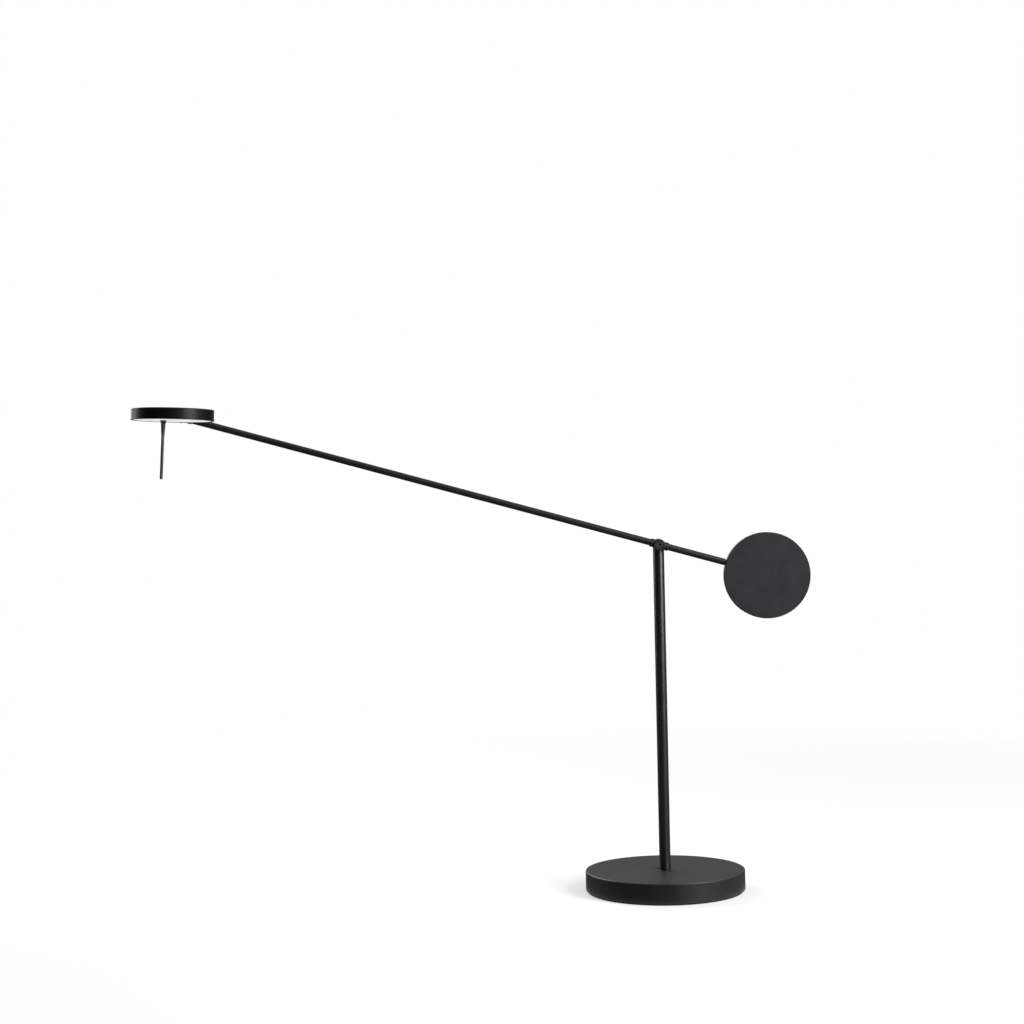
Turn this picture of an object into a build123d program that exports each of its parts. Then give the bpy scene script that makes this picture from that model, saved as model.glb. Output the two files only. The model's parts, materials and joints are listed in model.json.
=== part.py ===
from build123d import *
import os
from math import cos, radians, sin, sqrt

# Counterweight balance desk lamp, in millimetres.
#
# Frame: the table is z = 0, +Z is up, and the column stands on the Z axis. The arm lies along X in
# front of the column (towards -Y). Its lamp head is at the -X end and its counterweight at the +X end.
# "Front" distances are counted from the column's axis towards -Y.

# ---------------------------------------------------------------- driving dimensions: base
base_diameter = 180.0
base_height = 24.0              # table to the base's top face
base_wall = 2.0                 # spun steel cover
base_edge_radius = 1.2
base_plate_thickness = 1.5
base_plate_gap = 0.3            # between the plate's edge and the cover
foot_pad_thickness = 2.0
foot_pad_inset = 2.0            # the pad's edge inside the cover's edge
ballast_gap = 3.0               # between the ballast's edge and the cover
ballast_eye_radius = 22.0       # round the swivel's housing
ballast_edge = 1.0
base_screw_count = 4
base_screw_inset = 25.0         # the screws' circle inside the cover's edge
base_screw_radius = 2.0
base_screw_head_radius = 3.6
base_screw_head_height = 1.6
base_boss_radius = 5.0
base_boss_length = 4.5          # from the cover's ceiling down to the ballast
base_screw_end_gap = 1.0
base_screw_socket_radius = 1.2
base_screw_socket_depth = 1.1
driver_length = 64.0
driver_depth = 28.0
driver_height = 12.0
driver_gland_gap = 14.0         # between the driver's case and the gland
driver_wall = 1.2
driver_pocket_gap = 3.0
driver_pillar_radius = 2.0
driver_pillar_inset = (6.4, 5.6)
board_thickness = 1.6
driver_board_lift = 2.6         # the board above the case's floor
driver_board_gap = 0.5
transformer_width = 14.0
transformer_height = 5.5
terminal_block_size = (8.0, 16.0)
terminal_block_place = (20.0, 0.0)
capacitor_radius = 3.5
capacitor_height = 5.0
capacitor_places = ((-14.0, 5.0), (-14.0, -5.0), (-23.0, 0.0))
base_lead_radius = 1.1
base_lead_bend = 12.0
base_lead_drop = (6.0, 16.0)    # where the lead starts and ends its way down to the base plate
gland_bore_radius = 3.1
gland_body_radius = 5.0
gland_flange_radius = 7.5
gland_flange_thickness = 2.0
gland_flange_edge = 0.8
gland_length = 12.0
gland_nut_across = 14.0
gland_nut_thickness = 3.0
gland_seat_depth = 0.4          # flat milled on the round cover

# ---------------------------------------------------------------- driving dimensions: swivel
swivel_flange_overhang = 4.15   # past the column
swivel_flange_thickness = 1.0
swivel_flange_sink = 0.5        # the flange's top below the base's top
swivel_washer_thickness = 0.5
swivel_ring_gap = 0.5           # the dark ring round the column's foot
swivel_shaft_radius = 6.0
swivel_thread_radius = 5.0
swivel_housing_flange_radius = 20.0
swivel_housing_flange_thickness = 3.0
swivel_housing_radius = 14.0
swivel_floor_gap = 3.1          # the swivel's nut above the base plate
stop_washer_thickness = 1.2
stop_washer_radius = 9.0
stop_lug_reach = 13.0
stop_lug_width = 4.0
stop_pin_radius = 1.5
stop_pin_circle_radius = 11.5
stop_pin_length = 5.7
stop_pin_overhang = 1.7
spring_washer_thickness = 0.8
spring_washer_inset = 0.5       # its edge inside the stop washer's
swivel_nut_across = 16.0
swivel_nut_thickness = 2.4
spindle_end_reach = 0.2         # the thread past the nut

# ---------------------------------------------------------------- driving dimensions: column
column_diameter = 12.7
column_wall = 1.4
pivot_height = 391.6            # table to the arm's pivot
column_neck = 8.0               # the tube's top below the pivot
drum_swell = 0.15               # the cross drum's radius over the column's
drum_overhang = 0.5             # the drum's ends in front of and behind the tube
drum_edge = 0.3
spigot_length = 20.0            # the foot and the head each reach this far into the tube
tube_screw_radius = 1.5
tube_screw_station = 10.0       # from the tube's end
tube_screw_bite = 1.5           # the screw's tip inside the tube's bore
tube_screw_sink = 0.2
tube_screw_socket_depth = 1.2
spindle_bore_radius = 3.0
column_head_bore_radius = 2.2
pivot_bolt_radius = 2.5
pivot_bolt_head_radius = 4.0
pivot_bolt_head_height = 2.2
pivot_bolt_sink = 0.3           # the bolt's head below the boss's face
pivot_bolt_edge = 0.3
pivot_bolt_reach = 1.0          # the bolt's end past the cap nut's hexagon
pivot_socket_across = 3.0
pivot_socket_depth = 1.5
pivot_washer_thickness = 0.8
pivot_washer_inset = 0.3        # its edge inside the boss's
pivot_spring_washer_overhang = 1.0      # its edge past the cap nut's flats
cap_nut_across = 8.0
cap_nut_hex = 3.5
cap_nut_dome = 3.5
cap_nut_shoulder = 0.2          # the hexagon's flats past the dome
cap_nut_dome_edge = 3.23
cap_nut_bore_gap = 0.5          # the bore past the bolt's end
column_lead_radius = 1.5
column_lead_bend = 60.0
column_lead_drift = 40.0        # the lead's way from a bore to the tube's wall

# ---------------------------------------------------------------- driving dimensions: arm
arm_angle = 16.1                # the head's end up, from horizontal
arm_diameter = 7.5
arm_wall = 0.9
arm_reach = 557.6               # pivot to the head's pivot
hub_wall = 0.95
hub_length = 22.0
hub_end_chamfer = 0.72          # along the hub
hub_side_chamfer = 0.9          # into its radius
hub_core = 4.5                  # solid middle of the hub, to each side of the bolt
boss_diameter = 12.6
boss_overhang = 0.8             # the boss's ends past the hub
boss_edge = 0.4
set_screw_radius = 1.25
set_screw_station = 8.0         # from the pivot
set_screw_sink = 0.1
set_screw_socket_depth = 1.0
set_screw_tube_bite = 0.3       # the screw's hole past the tube's wall
knuckle_length = 14.0
knuckle_core = 5.5
knuckle_screw_place = 4.0       # from the knuckle's end
arm_lead_radius = 1.3
lead_end_gap = 1.0

# ---------------------------------------------------------------- driving dimensions: counterweight
weight_diameter = 97.0
weight_thickness = 12.0
weight_edge = 0.6
weight_reach = 126.0            # pivot to the disc's centre, along the arm
weight_drop = 2.0               # the disc's centre below the arm's line
weight_neck_gap = 0.9           # bare stud between the rod's shoulder and the disc
weight_stud_radius = 2.5
weight_stud_depth = 14.0
weight_screw_radius = 2.0
weight_screw_station = 7.0      # from the disc's edge, along the stud
weight_screw_sink = 0.4
weight_screw_socket_depth = 1.6

# ---------------------------------------------------------------- driving dimensions: head
head_diameter = 90.6
head_thickness = 12.7
head_tilt = 2.04                # the head's axis from vertical, its top towards +X
head_wall = 1.8
head_top_thickness = 2.6
head_edge_radius = 1.2
stub_shaft_radius = 3.0
stub_collar_radius = 4.5
stub_collar_length = 1.4
stub_tail_radius = 2.0
stub_tail_length = 9.0
stub_boss_gap = 0.15            # between the stub's boss and the diffuser
stub_boss_floor = 1.0           # the boss past the stub's end
stub_lead_bore_radius = 1.2
stub_lead_bore_depth = 13.0
stub_seat_depth = 0.3
stub_end_gap = 0.15
head_washer_thickness = 0.4
head_washer_gap = 0.1           # radial, round the stub's shaft
head_washer_inset = 0.8         # its edge inside the knuckle's
pivot_screw_radius = 1.5
pivot_screw_length = 8.0
pivot_screw_head_radius = 4.2
pivot_screw_head_height = 2.0
pivot_screw_head_edge = 0.8
pivot_screw_socket_across = 2.1
pivot_screw_socket_depth = 1.4
led_board_gap = 2.5             # between the board's edge and the housing's wall
outer_chip_count = 24
outer_chip_inset = 7.0          # the outer ring of chips inside the board's edge
inner_chip_count = 12
inner_chip_gap = 7.0            # between the handle's post and the inner ring of chips
led_size = (3.5, 2.8)
led_height = 0.7
board_screw_count = 3
board_screw_radius = 1.25
board_screw_head_radius = 2.3
board_screw_head_height = 1.0
board_screw_bite = 1.5
board_notch_width = 8.0
reflector_wall = 1.75
diffuser_thickness = 2.5
diffuser_sink = 0.4             # the diffuser's face above the head's lower rim
diffuser_gap = 0.3
handle_offset = 10.0            # from the head's centre towards -X
handle_length = 65.0            # below the diffuser
handle_radius = 1.7
handle_cone_radius = 2.7
handle_cone_length = 16.6
handle_collar_radius = 3.3
handle_collar_length = 2.5
handle_stud_radius = 1.5
handle_stud_bite = 4.5
handle_post_radius = 3.0
handle_collar_edge = 0.3
handle_tip_edge = 1.5
handle_post_bite = 1.6
head_lead_radius = 0.9
head_lead_bend = 6.0
head_lead_landing = 3.0         # the lead's last stretch, along the board

# ---------------------------------------------------------------- clearances
running = 0.05                  # radial, where a piece turns in another
loose = 0.2                     # radial, round a screw
screw_head_gap = 0.8            # radial, round a screw's head
lead_gap = 0.1                  # between a lead and the wall that it lies along
cut_past = 1.0                  # how far a cut runs past a face

# ---------------------------------------------------------------- derived sizes and places
base_radius = base_diameter / 2
cover_inner_radius = base_radius - base_wall
cover_ceiling = base_height - base_wall
plate_bottom = foot_pad_thickness
ballast_bottom = plate_bottom + base_plate_thickness
ballast_top = cover_ceiling - base_boss_length
ballast_radius = cover_inner_radius - ballast_gap
base_screw_circle_radius = base_radius - base_screw_inset
gland_height = (ballast_bottom + cover_ceiling) / 2
driver_front = base_radius - gland_length - driver_gland_gap - driver_depth

column_radius = column_diameter / 2
swivel_flange_radius = column_radius + swivel_flange_overhang
swivel_opening_radius = swivel_flange_radius + swivel_ring_gap
flange_top = base_height - swivel_flange_sink
flange_bottom = flange_top - swivel_flange_thickness
swivel_nut_bottom = ballast_bottom + swivel_floor_gap
swivel_spring_bottom = swivel_nut_bottom + swivel_nut_thickness
stop_washer_bottom = swivel_spring_bottom + spring_washer_thickness
housing_bottom = stop_washer_bottom + stop_washer_thickness

tube_bore_radius = column_radius - column_wall
tube_bottom = flange_top
tube_top = pivot_height - column_neck

arm_radius = arm_diameter / 2
arm_bore_radius = arm_radius - arm_wall
hub_radius = arm_radius + hub_wall
hub_half = hub_length / 2
boss_radius = boss_diameter / 2
boss_length = 2 * (hub_radius + boss_overhang)
drum_half = column_radius + drum_overhang
boss_back = drum_half + pivot_washer_thickness
boss_face = boss_back + boss_length
arm_front = (boss_back + boss_face) / 2
bolt_seat = boss_face - pivot_bolt_sink - pivot_bolt_head_height
bolt_end = -boss_back - cap_nut_hex - pivot_bolt_reach

up = Vector(0, 0, 1)
front = Vector(0, -1, 0)
right = Vector(1, 0, 0)
arm_direction = Vector(-cos(radians(arm_angle)), 0, sin(radians(arm_angle)))
arm_down = Vector(-sin(radians(arm_angle)), 0, -cos(radians(arm_angle)))
pivot_point = up * pivot_height + front * arm_front
knuckle_point = pivot_point + arm_direction * arm_reach
weight_centre = pivot_point - arm_direction * weight_reach + arm_down * weight_drop

head_radius = head_diameter / 2
head_half = head_thickness / 2
head_inner_radius = head_radius - head_wall
head_ceiling = head_half - head_top_thickness
stub_washer_front = boss_face + head_washer_thickness
stub_seat = stub_washer_front + stub_collar_length
rim_back = stub_seat - stub_seat_depth
back_of_head = rim_back + head_radius
head_centre = knuckle_point + front * (back_of_head - arm_front)
head_up = Vector(sin(radians(head_tilt)), 0, cos(radians(head_tilt)))
head_right = Vector(cos(radians(head_tilt)), 0, -sin(radians(head_tilt)))
stub_tail_end = stub_seat + stub_tail_length
stub_shaft_back = boss_back - spring_washer_thickness + stub_end_gap
led_board_radius = head_inner_radius - led_board_gap
led_board_bottom = head_ceiling - board_thickness
outer_chip_radius = led_board_radius - outer_chip_inset
inner_chip_radius = handle_offset + handle_post_radius + inner_chip_gap
board_screw_circle_radius = (outer_chip_radius + inner_chip_radius) / 2
diffuser_bottom = diffuser_sink - head_half
diffuser_top = diffuser_bottom + diffuser_thickness
stub_boss_radius = -diffuser_top - stub_boss_gap

# Planes. Heights over pivot_line and knuckle_line are front distances, heights over arm_line run from
# the pivot towards the head, and heights over head_level run up from the head's mid-thickness.
table = Plane.XY
pivot_line = Plane(origin=up * pivot_height, x_dir=right, z_dir=front)
knuckle_line = Plane(origin=knuckle_point - front * arm_front, x_dir=right, z_dir=front)
arm_line = Plane(origin=pivot_point, x_dir=-front, z_dir=arm_direction)
head_level = Plane(origin=head_centre, x_dir=head_right, z_dir=head_up)
handle_line = Plane(origin=head_centre - head_right * handle_offset, x_dir=head_right, z_dir=head_up)
weight_face = Plane(origin=weight_centre, x_dir=right, z_dir=front)
gland_line = Plane(origin=up * gland_height, x_dir=right, z_dir=-front)


def rod(plane, radius, start, end, mode=Mode.ADD):
    """Add or cut a round rod along the plane's normal, between two heights over the plane."""
    with BuildSketch(plane.offset(start)) as section:
        Circle(radius)
    extrude(section.sketch, amount=end - start, mode=mode)


def washer(plane, outer_radius, inner_radius, start, end):
    """Add a flat ring along the plane's normal, between two heights over the plane."""
    with BuildSketch(plane.offset(start)) as section:
        Circle(outer_radius)
        Circle(inner_radius, mode=Mode.SUBTRACT)
    extrude(section.sketch, amount=end - start)


def hexagon(plane, across_flats, start, end, mode=Mode.ADD):
    """Add or cut a six-sided bar along the plane's normal, between two heights over the plane."""
    with BuildSketch(plane.offset(start)) as section:
        RegularPolygon(across_flats / 2, 6, major_radius=False)
    extrude(section.sketch, amount=end - start, mode=mode)


def block(plane, width, depth, start, end, mode=Mode.ADD):
    """Add or cut a rectangular block over the plane's origin, between two heights over the plane."""
    with BuildSketch(plane.offset(start)) as section:
        Rectangle(width, depth)
    extrude(section.sketch, amount=end - start, mode=mode)


def turned(plane, outline):
    """Add a turned piece: a closed outline of (radius, height) points, spun about the normal."""
    with BuildSketch(Plane(origin=plane.origin, x_dir=plane.x_dir, z_dir=-plane.y_dir)) as profile:
        with BuildLine():
            Polyline(*outline, close=True)
        make_face()
    revolve(profile.sketch, axis=Axis(plane.origin, plane.z_dir))


def lead(points, radius, bend):
    """Add a round lead along straight runs joined by tangent arcs."""
    with BuildLine() as route:
        FilletPolyline(*points, radius=bend)
    start = Plane(origin=route.line @ 0, z_dir=route.line % 0)
    with BuildSketch(start) as section:
        Circle(radius)
    sweep(section.sketch, path=route.line)


def save(piece, name):
    """Label a finished piece and write its file."""
    piece.part.label = name
    export_step(piece.part, f"parts/{name}.step")


os.makedirs("parts", exist_ok=True)

# ================================================================ base
# Spun cover: open underneath, with an opening for the swivel and a flat seat for the gland at the back.
with BuildPart() as base_cover:
    rod(table, base_radius, plate_bottom, base_height)
    fillet(base_cover.faces().sort_by(Axis.Z)[-1].edges(), base_edge_radius)
    rod(table, cover_inner_radius, plate_bottom, cover_ceiling, Mode.SUBTRACT)
    rod(table, swivel_opening_radius, cover_ceiling, base_height, Mode.SUBTRACT)
    with BuildSketch(table.offset(ballast_top)):
        with PolarLocations(base_screw_circle_radius, base_screw_count, start_angle=45):
            Circle(base_boss_radius)
    extrude(amount=cover_ceiling - ballast_top)
    with BuildSketch(table.offset(ballast_top)):
        with PolarLocations(base_screw_circle_radius, base_screw_count, start_angle=45):
            Circle(base_screw_radius)
    extrude(amount=cover_ceiling - ballast_top, mode=Mode.SUBTRACT)
    rod(gland_line, gland_flange_radius + loose, base_radius - gland_seat_depth, base_radius + cut_past,
        Mode.SUBTRACT)
    rod(gland_line, gland_body_radius, cover_inner_radius - cut_past, base_radius, Mode.SUBTRACT)
save(base_cover, "base_cover")

# Cast-iron ballast with an eye for the swivel, a pocket for the driver and a slot for the gland.
with BuildPart() as ballast_disc:
    with BuildSketch(table.offset(ballast_bottom)):
        Circle(ballast_radius)
        Circle(ballast_eye_radius, mode=Mode.SUBTRACT)
        with Locations((0, driver_front + driver_depth / 2)):
            Rectangle(driver_length + 2 * driver_pocket_gap, driver_depth + 2 * driver_pocket_gap,
                      mode=Mode.SUBTRACT)
        with Locations((0, driver_front / 2)):
            Rectangle(swivel_nut_across, driver_front, mode=Mode.SUBTRACT)
        with Locations((0, ballast_radius)):
            Rectangle(gland_nut_across + 2 * driver_pocket_gap, 2 * (gland_length + driver_pocket_gap),
                      mode=Mode.SUBTRACT)
        with PolarLocations(base_screw_circle_radius, base_screw_count, start_angle=45):
            Circle(base_screw_radius + loose, mode=Mode.SUBTRACT)
    extrude(amount=ballast_top - ballast_bottom)
    chamfer(ballast_disc.faces().sort_by(Axis.Z)[-1].outer_wire().edges(), ballast_edge)
save(ballast_disc, "ballast_disc")

with BuildPart() as base_plate:
    with BuildSketch(table.offset(plate_bottom)):
        Circle(cover_inner_radius - base_plate_gap)
        with PolarLocations(base_screw_circle_radius, base_screw_count, start_angle=45):
            Circle(base_screw_radius + loose, mode=Mode.SUBTRACT)
    extrude(amount=base_plate_thickness)
save(base_plate, "base_plate")

with BuildPart() as foot_pad:
    with BuildSketch(table):
        Circle(base_radius - foot_pad_inset)
        with PolarLocations(base_screw_circle_radius, base_screw_count, start_angle=45):
            Circle(base_screw_head_radius + screw_head_gap, mode=Mode.SUBTRACT)
    extrude(amount=foot_pad_thickness)
save(foot_pad, "foot_pad")

# Four long screws clamp the plate and the ballast to the bosses under the cover.
with BuildPart() as base_screws:
    with BuildSketch(table.offset(plate_bottom - base_screw_head_height)):
        with PolarLocations(base_screw_circle_radius, base_screw_count, start_angle=45):
            Circle(base_screw_head_radius)
    extrude(amount=base_screw_head_height)
    with BuildSketch(table.offset(plate_bottom)):
        with PolarLocations(base_screw_circle_radius, base_screw_count, start_angle=45):
            Circle(base_screw_radius)
    extrude(amount=cover_ceiling - base_screw_end_gap - plate_bottom)
    with BuildSketch(table.offset(plate_bottom - base_screw_head_height)):
        with PolarLocations(base_screw_circle_radius, base_screw_count, start_angle=45):
            RegularPolygon(base_screw_socket_radius, 6)
    extrude(amount=base_screw_socket_depth, mode=Mode.SUBTRACT)
save(base_screws, "base_screws")

with BuildPart() as cord_gland:
    rod(gland_line, gland_flange_radius, base_radius - gland_seat_depth,
        base_radius - gland_seat_depth + gland_flange_thickness)
    fillet(cord_gland.faces().sort_by(Axis.Y)[-1].edges(), gland_flange_edge)
    rod(gland_line, gland_body_radius, base_radius - gland_length, base_radius - gland_seat_depth)
    rod(gland_line, gland_bore_radius, base_radius - gland_length, base_radius + gland_flange_thickness,
        Mode.SUBTRACT)
save(cord_gland, "cord_gland")

with BuildPart() as gland_nut:
    nut_corner = gland_nut_across / sqrt(3)
    nut_face = sqrt(cover_inner_radius**2 - nut_corner**2)
    hexagon(gland_line, gland_nut_across, nut_face - gland_nut_thickness, nut_face)
    rod(gland_line, gland_body_radius, nut_face - gland_nut_thickness, nut_face, Mode.SUBTRACT)
save(gland_nut, "gland_nut")

# ---------------------------------------------------------------- driver
driver_centre = Plane(origin=(0, driver_front + driver_depth / 2, ballast_bottom))
driver_board_bottom = driver_wall + driver_board_lift
driver_lead_height = driver_wall + driver_board_lift / 2

with BuildPart() as driver_case:
    block(driver_centre, driver_length, driver_depth, 0, driver_height)
    block(driver_centre, driver_length - 2 * driver_wall, driver_depth - 2 * driver_wall, driver_wall,
          driver_height, Mode.SUBTRACT)
    with BuildSketch(driver_centre.offset(driver_wall)):
        with GridLocations(driver_length - 2 * driver_pillar_inset[0],
                           driver_depth - 2 * driver_pillar_inset[1], 2, 2):
            Circle(driver_pillar_radius)
    extrude(amount=driver_board_lift)
    lead_hole = Plane(origin=(0, driver_front, ballast_bottom + driver_lead_height), z_dir=(0, 1, 0))
    rod(lead_hole, base_lead_radius + loose, -cut_past, driver_wall + cut_past, Mode.SUBTRACT)
save(driver_case, "driver_case")

with BuildPart() as driver_board:
    board_margin = 2 * (driver_wall + driver_board_gap)
    block(driver_centre, driver_length - board_margin, driver_depth - board_margin, driver_board_bottom,
          driver_board_bottom + board_thickness)
save(driver_board, "driver_board")

# Transformer, smoothing capacitors and terminal block, standing on the board.
with BuildPart() as driver_components:
    component_seat = driver_centre.offset(driver_board_bottom + board_thickness)
    with BuildSketch(component_seat):
        Rectangle(transformer_width, transformer_width)
        with Locations(terminal_block_place):
            Rectangle(*terminal_block_size)
    extrude(amount=transformer_height)
    with BuildSketch(component_seat):
        with Locations(*capacitor_places):
            Circle(capacitor_radius)
    extrude(amount=capacitor_height)
save(driver_components, "driver_components")

# Lead from the driver to the foot of the column, lying on the base plate.
base_lead_floor = ballast_bottom + base_lead_radius + lead_gap
base_lead_start = ballast_bottom + driver_lead_height
with BuildPart() as lead_in_base:
    lead([(0, driver_front + 2 * driver_wall, base_lead_start),
          (0, driver_front - base_lead_drop[0], base_lead_start),
          (0, driver_front - base_lead_drop[1], base_lead_floor),
          (0, 0, base_lead_floor)], base_lead_radius, base_lead_bend)
save(lead_in_base, "lead_in_base")

# ---------------------------------------------------------------- swivel, fixed half
# Housing welded under the cover; the column's spindle turns in its bore.
stop_pin_line = Plane(origin=(-stop_pin_circle_radius, 0, housing_bottom - stop_pin_overhang))
with BuildPart() as swivel_housing:
    rod(table, swivel_housing_radius, housing_bottom, cover_ceiling)
    rod(table, swivel_housing_flange_radius, cover_ceiling - swivel_housing_flange_thickness, cover_ceiling)
    rod(table, swivel_shaft_radius + running, housing_bottom, cover_ceiling, Mode.SUBTRACT)
    rod(stop_pin_line, stop_pin_radius, 0, stop_pin_length, Mode.SUBTRACT)
save(swivel_housing, "swivel_housing")

with BuildPart() as swivel_stop_pin:
    rod(stop_pin_line, stop_pin_radius, 0, stop_pin_length)
save(swivel_stop_pin, "swivel_stop_pin")

with BuildPart() as swivel_washer:
    washer(table, swivel_flange_radius, swivel_shaft_radius + loose, cover_ceiling,
           cover_ceiling + swivel_washer_thickness)
save(swivel_washer, "swivel_washer")

# ================================================================ column
# Turned foot: spigot in the tube, flange in the base's opening, shaft and thread through the housing.
tube_screw_foot = Plane(origin=(0, 0, tube_bottom + tube_screw_station), x_dir=right, z_dir=-front)
tube_screw_head = Plane(origin=(0, 0, tube_top - tube_screw_station), x_dir=right, z_dir=-front)
screw_tip = tube_bore_radius - tube_screw_bite
spindle_bottom = swivel_nut_bottom - spindle_end_reach
spigot_top = flange_top + spigot_length

with BuildPart() as column_spindle:
    turned(table, [
        (0, spindle_bottom),
        (swivel_thread_radius, spindle_bottom),
        (swivel_thread_radius, housing_bottom),
        (swivel_shaft_radius, housing_bottom),
        (swivel_shaft_radius, flange_bottom),
        (swivel_flange_radius, flange_bottom),
        (swivel_flange_radius, flange_top),
        (tube_bore_radius, flange_top),
        (tube_bore_radius, spigot_top),
        (0, spigot_top),
    ])
    rod(table, spindle_bore_radius, spindle_bottom, spigot_top, Mode.SUBTRACT)
    rod(tube_screw_foot, tube_screw_radius, screw_tip, column_radius, Mode.SUBTRACT)
save(column_spindle, "column_spindle")

# Keyed washer whose lug meets the stop pin at the end of the column's turn.
with BuildPart() as stop_washer:
    with BuildSketch(table.offset(stop_washer_bottom)):
        Circle(stop_washer_radius)
        Rectangle(stop_lug_reach, stop_lug_width, align=(Align.MIN, Align.CENTER))
        Circle(swivel_thread_radius + running, mode=Mode.SUBTRACT)
    extrude(amount=stop_washer_thickness)
save(stop_washer, "stop_washer")

with BuildPart() as swivel_spring_washer:
    washer(table, stop_washer_radius - spring_washer_inset, swivel_thread_radius + loose,
           swivel_spring_bottom, stop_washer_bottom)
save(swivel_spring_washer, "swivel_spring_washer")

with BuildPart() as swivel_nut:
    hexagon(table, swivel_nut_across, swivel_nut_bottom, swivel_spring_bottom)
    rod(table, swivel_thread_radius, swivel_nut_bottom, swivel_spring_bottom, Mode.SUBTRACT)
save(swivel_nut, "swivel_nut")

with BuildPart() as column_tube:
    washer(table, column_radius, tube_bore_radius, tube_bottom, tube_top)
    rod(tube_screw_foot, tube_screw_radius, screw_tip, column_radius, Mode.SUBTRACT)
    rod(tube_screw_head, tube_screw_radius, screw_tip, column_radius, Mode.SUBTRACT)
save(column_tube, "column_tube")

# Head of the column: a cross drum as thick as the column, on a neck with a spigot in the tube.
with BuildPart() as column_head:
    rod(pivot_line, column_radius + drum_swell, -drum_half, drum_half)
    chamfer(column_head.faces().sort_by(Axis.Y)[-1].edges(), drum_edge)
    rod(table, column_radius, tube_top, pivot_height)
    rod(table, tube_bore_radius, tube_top - spigot_length, tube_top)
    rod(table, column_head_bore_radius, tube_top - spigot_length, pivot_height - column_radius,
        Mode.SUBTRACT)
    rod(pivot_line, pivot_bolt_radius + running, -drum_half, drum_half, Mode.SUBTRACT)
    rod(tube_screw_head, tube_screw_radius, screw_tip, column_radius, Mode.SUBTRACT)
save(column_head, "column_head")

with BuildPart() as tube_set_screws:
    for screw_line in (tube_screw_foot, tube_screw_head):
        screw_top = column_radius - tube_screw_sink
        rod(screw_line, tube_screw_radius, screw_tip, screw_top)
        hexagon(screw_line, tube_screw_radius, screw_top - tube_screw_socket_depth, screw_top,
                Mode.SUBTRACT)
save(tube_set_screws, "tube_set_screws")

# Bolt that carries the arm, its head let into the boss; the arm turns on its shank.
with BuildPart() as pivot_bolt:
    rod(pivot_line, pivot_bolt_head_radius, bolt_seat, bolt_seat + pivot_bolt_head_height)
    chamfer(pivot_bolt.faces().sort_by(Axis.Y)[0].edges(), pivot_bolt_edge)
    rod(pivot_line, pivot_bolt_radius, bolt_end, bolt_seat)
    hexagon(pivot_line, pivot_socket_across, bolt_seat + pivot_bolt_head_height - pivot_socket_depth,
            bolt_seat + pivot_bolt_head_height, Mode.SUBTRACT)
save(pivot_bolt, "pivot_bolt")

with BuildPart() as pivot_washer:
    washer(pivot_line, boss_radius - pivot_washer_inset, pivot_bolt_radius + loose, drum_half, boss_back)
save(pivot_washer, "pivot_washer")

with BuildPart() as pivot_spring_washer:
    washer(pivot_line, cap_nut_across / 2 + pivot_spring_washer_overhang, pivot_bolt_radius + loose,
           -boss_back, -drum_half)
save(pivot_spring_washer, "pivot_spring_washer")

with BuildPart() as pivot_cap_nut:
    hexagon(pivot_line, cap_nut_across, -boss_back - cap_nut_hex, -boss_back)
    rod(pivot_line, cap_nut_across / 2 - cap_nut_shoulder, -boss_back - cap_nut_hex - cap_nut_dome,
        -boss_back - cap_nut_hex)
    fillet(pivot_cap_nut.faces().sort_by(Axis.Y)[-1].edges(), cap_nut_dome_edge)
    rod(pivot_line, pivot_bolt_radius, bolt_end - cap_nut_bore_gap, -boss_back, Mode.SUBTRACT)
save(pivot_cap_nut, "pivot_cap_nut")

# Lead up the column: through the foot's bore, along the tube's wall and into the head's bore.
head_spigot_bottom = tube_top - spigot_length
with BuildPart() as lead_in_column:
    foot_side = spindle_bore_radius - column_lead_radius - lead_gap
    wall_side = tube_bore_radius - column_lead_radius - lead_gap
    head_side = column_head_bore_radius - column_lead_radius - lead_gap
    lead([(foot_side, 0, swivel_nut_bottom + lead_end_gap), (foot_side, 0, spigot_top),
          (wall_side, 0, spigot_top + column_lead_drift),
          (wall_side, 0, head_spigot_bottom - column_lead_drift),
          (head_side, 0, head_spigot_bottom),
          (head_side, 0, pivot_height - column_radius - lead_end_gap)], column_lead_radius,
         column_lead_bend)
save(lead_in_column, "lead_in_column")

# ================================================================ arm
def arm_screw_line(station):
    """Plane of a set screw under the arm, its heights running down from the arm's line."""
    return Plane(origin=pivot_point + arm_direction * station, x_dir=arm_direction, z_dir=arm_down)


knuckle_screw_station = arm_reach - knuckle_length + knuckle_screw_place
screw_stations = (set_screw_station, -set_screw_station, knuckle_screw_station)

# Cross-shaped hub: a sleeve along the arm, and a boss across it that the bolt goes through.
with BuildPart() as arm_hub:
    rod(arm_line, hub_radius, -hub_half, hub_half)
    chamfer(arm_hub.edges().filter_by(GeomType.CIRCLE), hub_end_chamfer, hub_side_chamfer)
    rod(pivot_line, boss_radius, boss_back, boss_face)
    chamfer(arm_hub.faces().sort_by(Axis.Y)[0].edges(), boss_edge)
    rod(arm_line, arm_radius, hub_core, hub_half, Mode.SUBTRACT)
    rod(arm_line, arm_radius, -hub_half, -hub_core, Mode.SUBTRACT)
    rod(pivot_line, pivot_bolt_radius + running, boss_back, boss_face, Mode.SUBTRACT)
    rod(pivot_line, pivot_bolt_head_radius + loose, bolt_seat, boss_face, Mode.SUBTRACT)
    for station in screw_stations[:2]:
        rod(arm_screw_line(station), set_screw_radius, arm_bore_radius, hub_radius, Mode.SUBTRACT)
save(arm_hub, "arm_hub")

tube_end = arm_reach - knuckle_core
with BuildPart() as arm_tube:
    washer(arm_line, arm_radius, arm_bore_radius, hub_core, tube_end)
    for station in (set_screw_station, knuckle_screw_station):
        rod(arm_screw_line(station), set_screw_radius, arm_bore_radius - set_screw_tube_bite, arm_radius,
            Mode.SUBTRACT)
save(arm_tube, "arm_tube")

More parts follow.
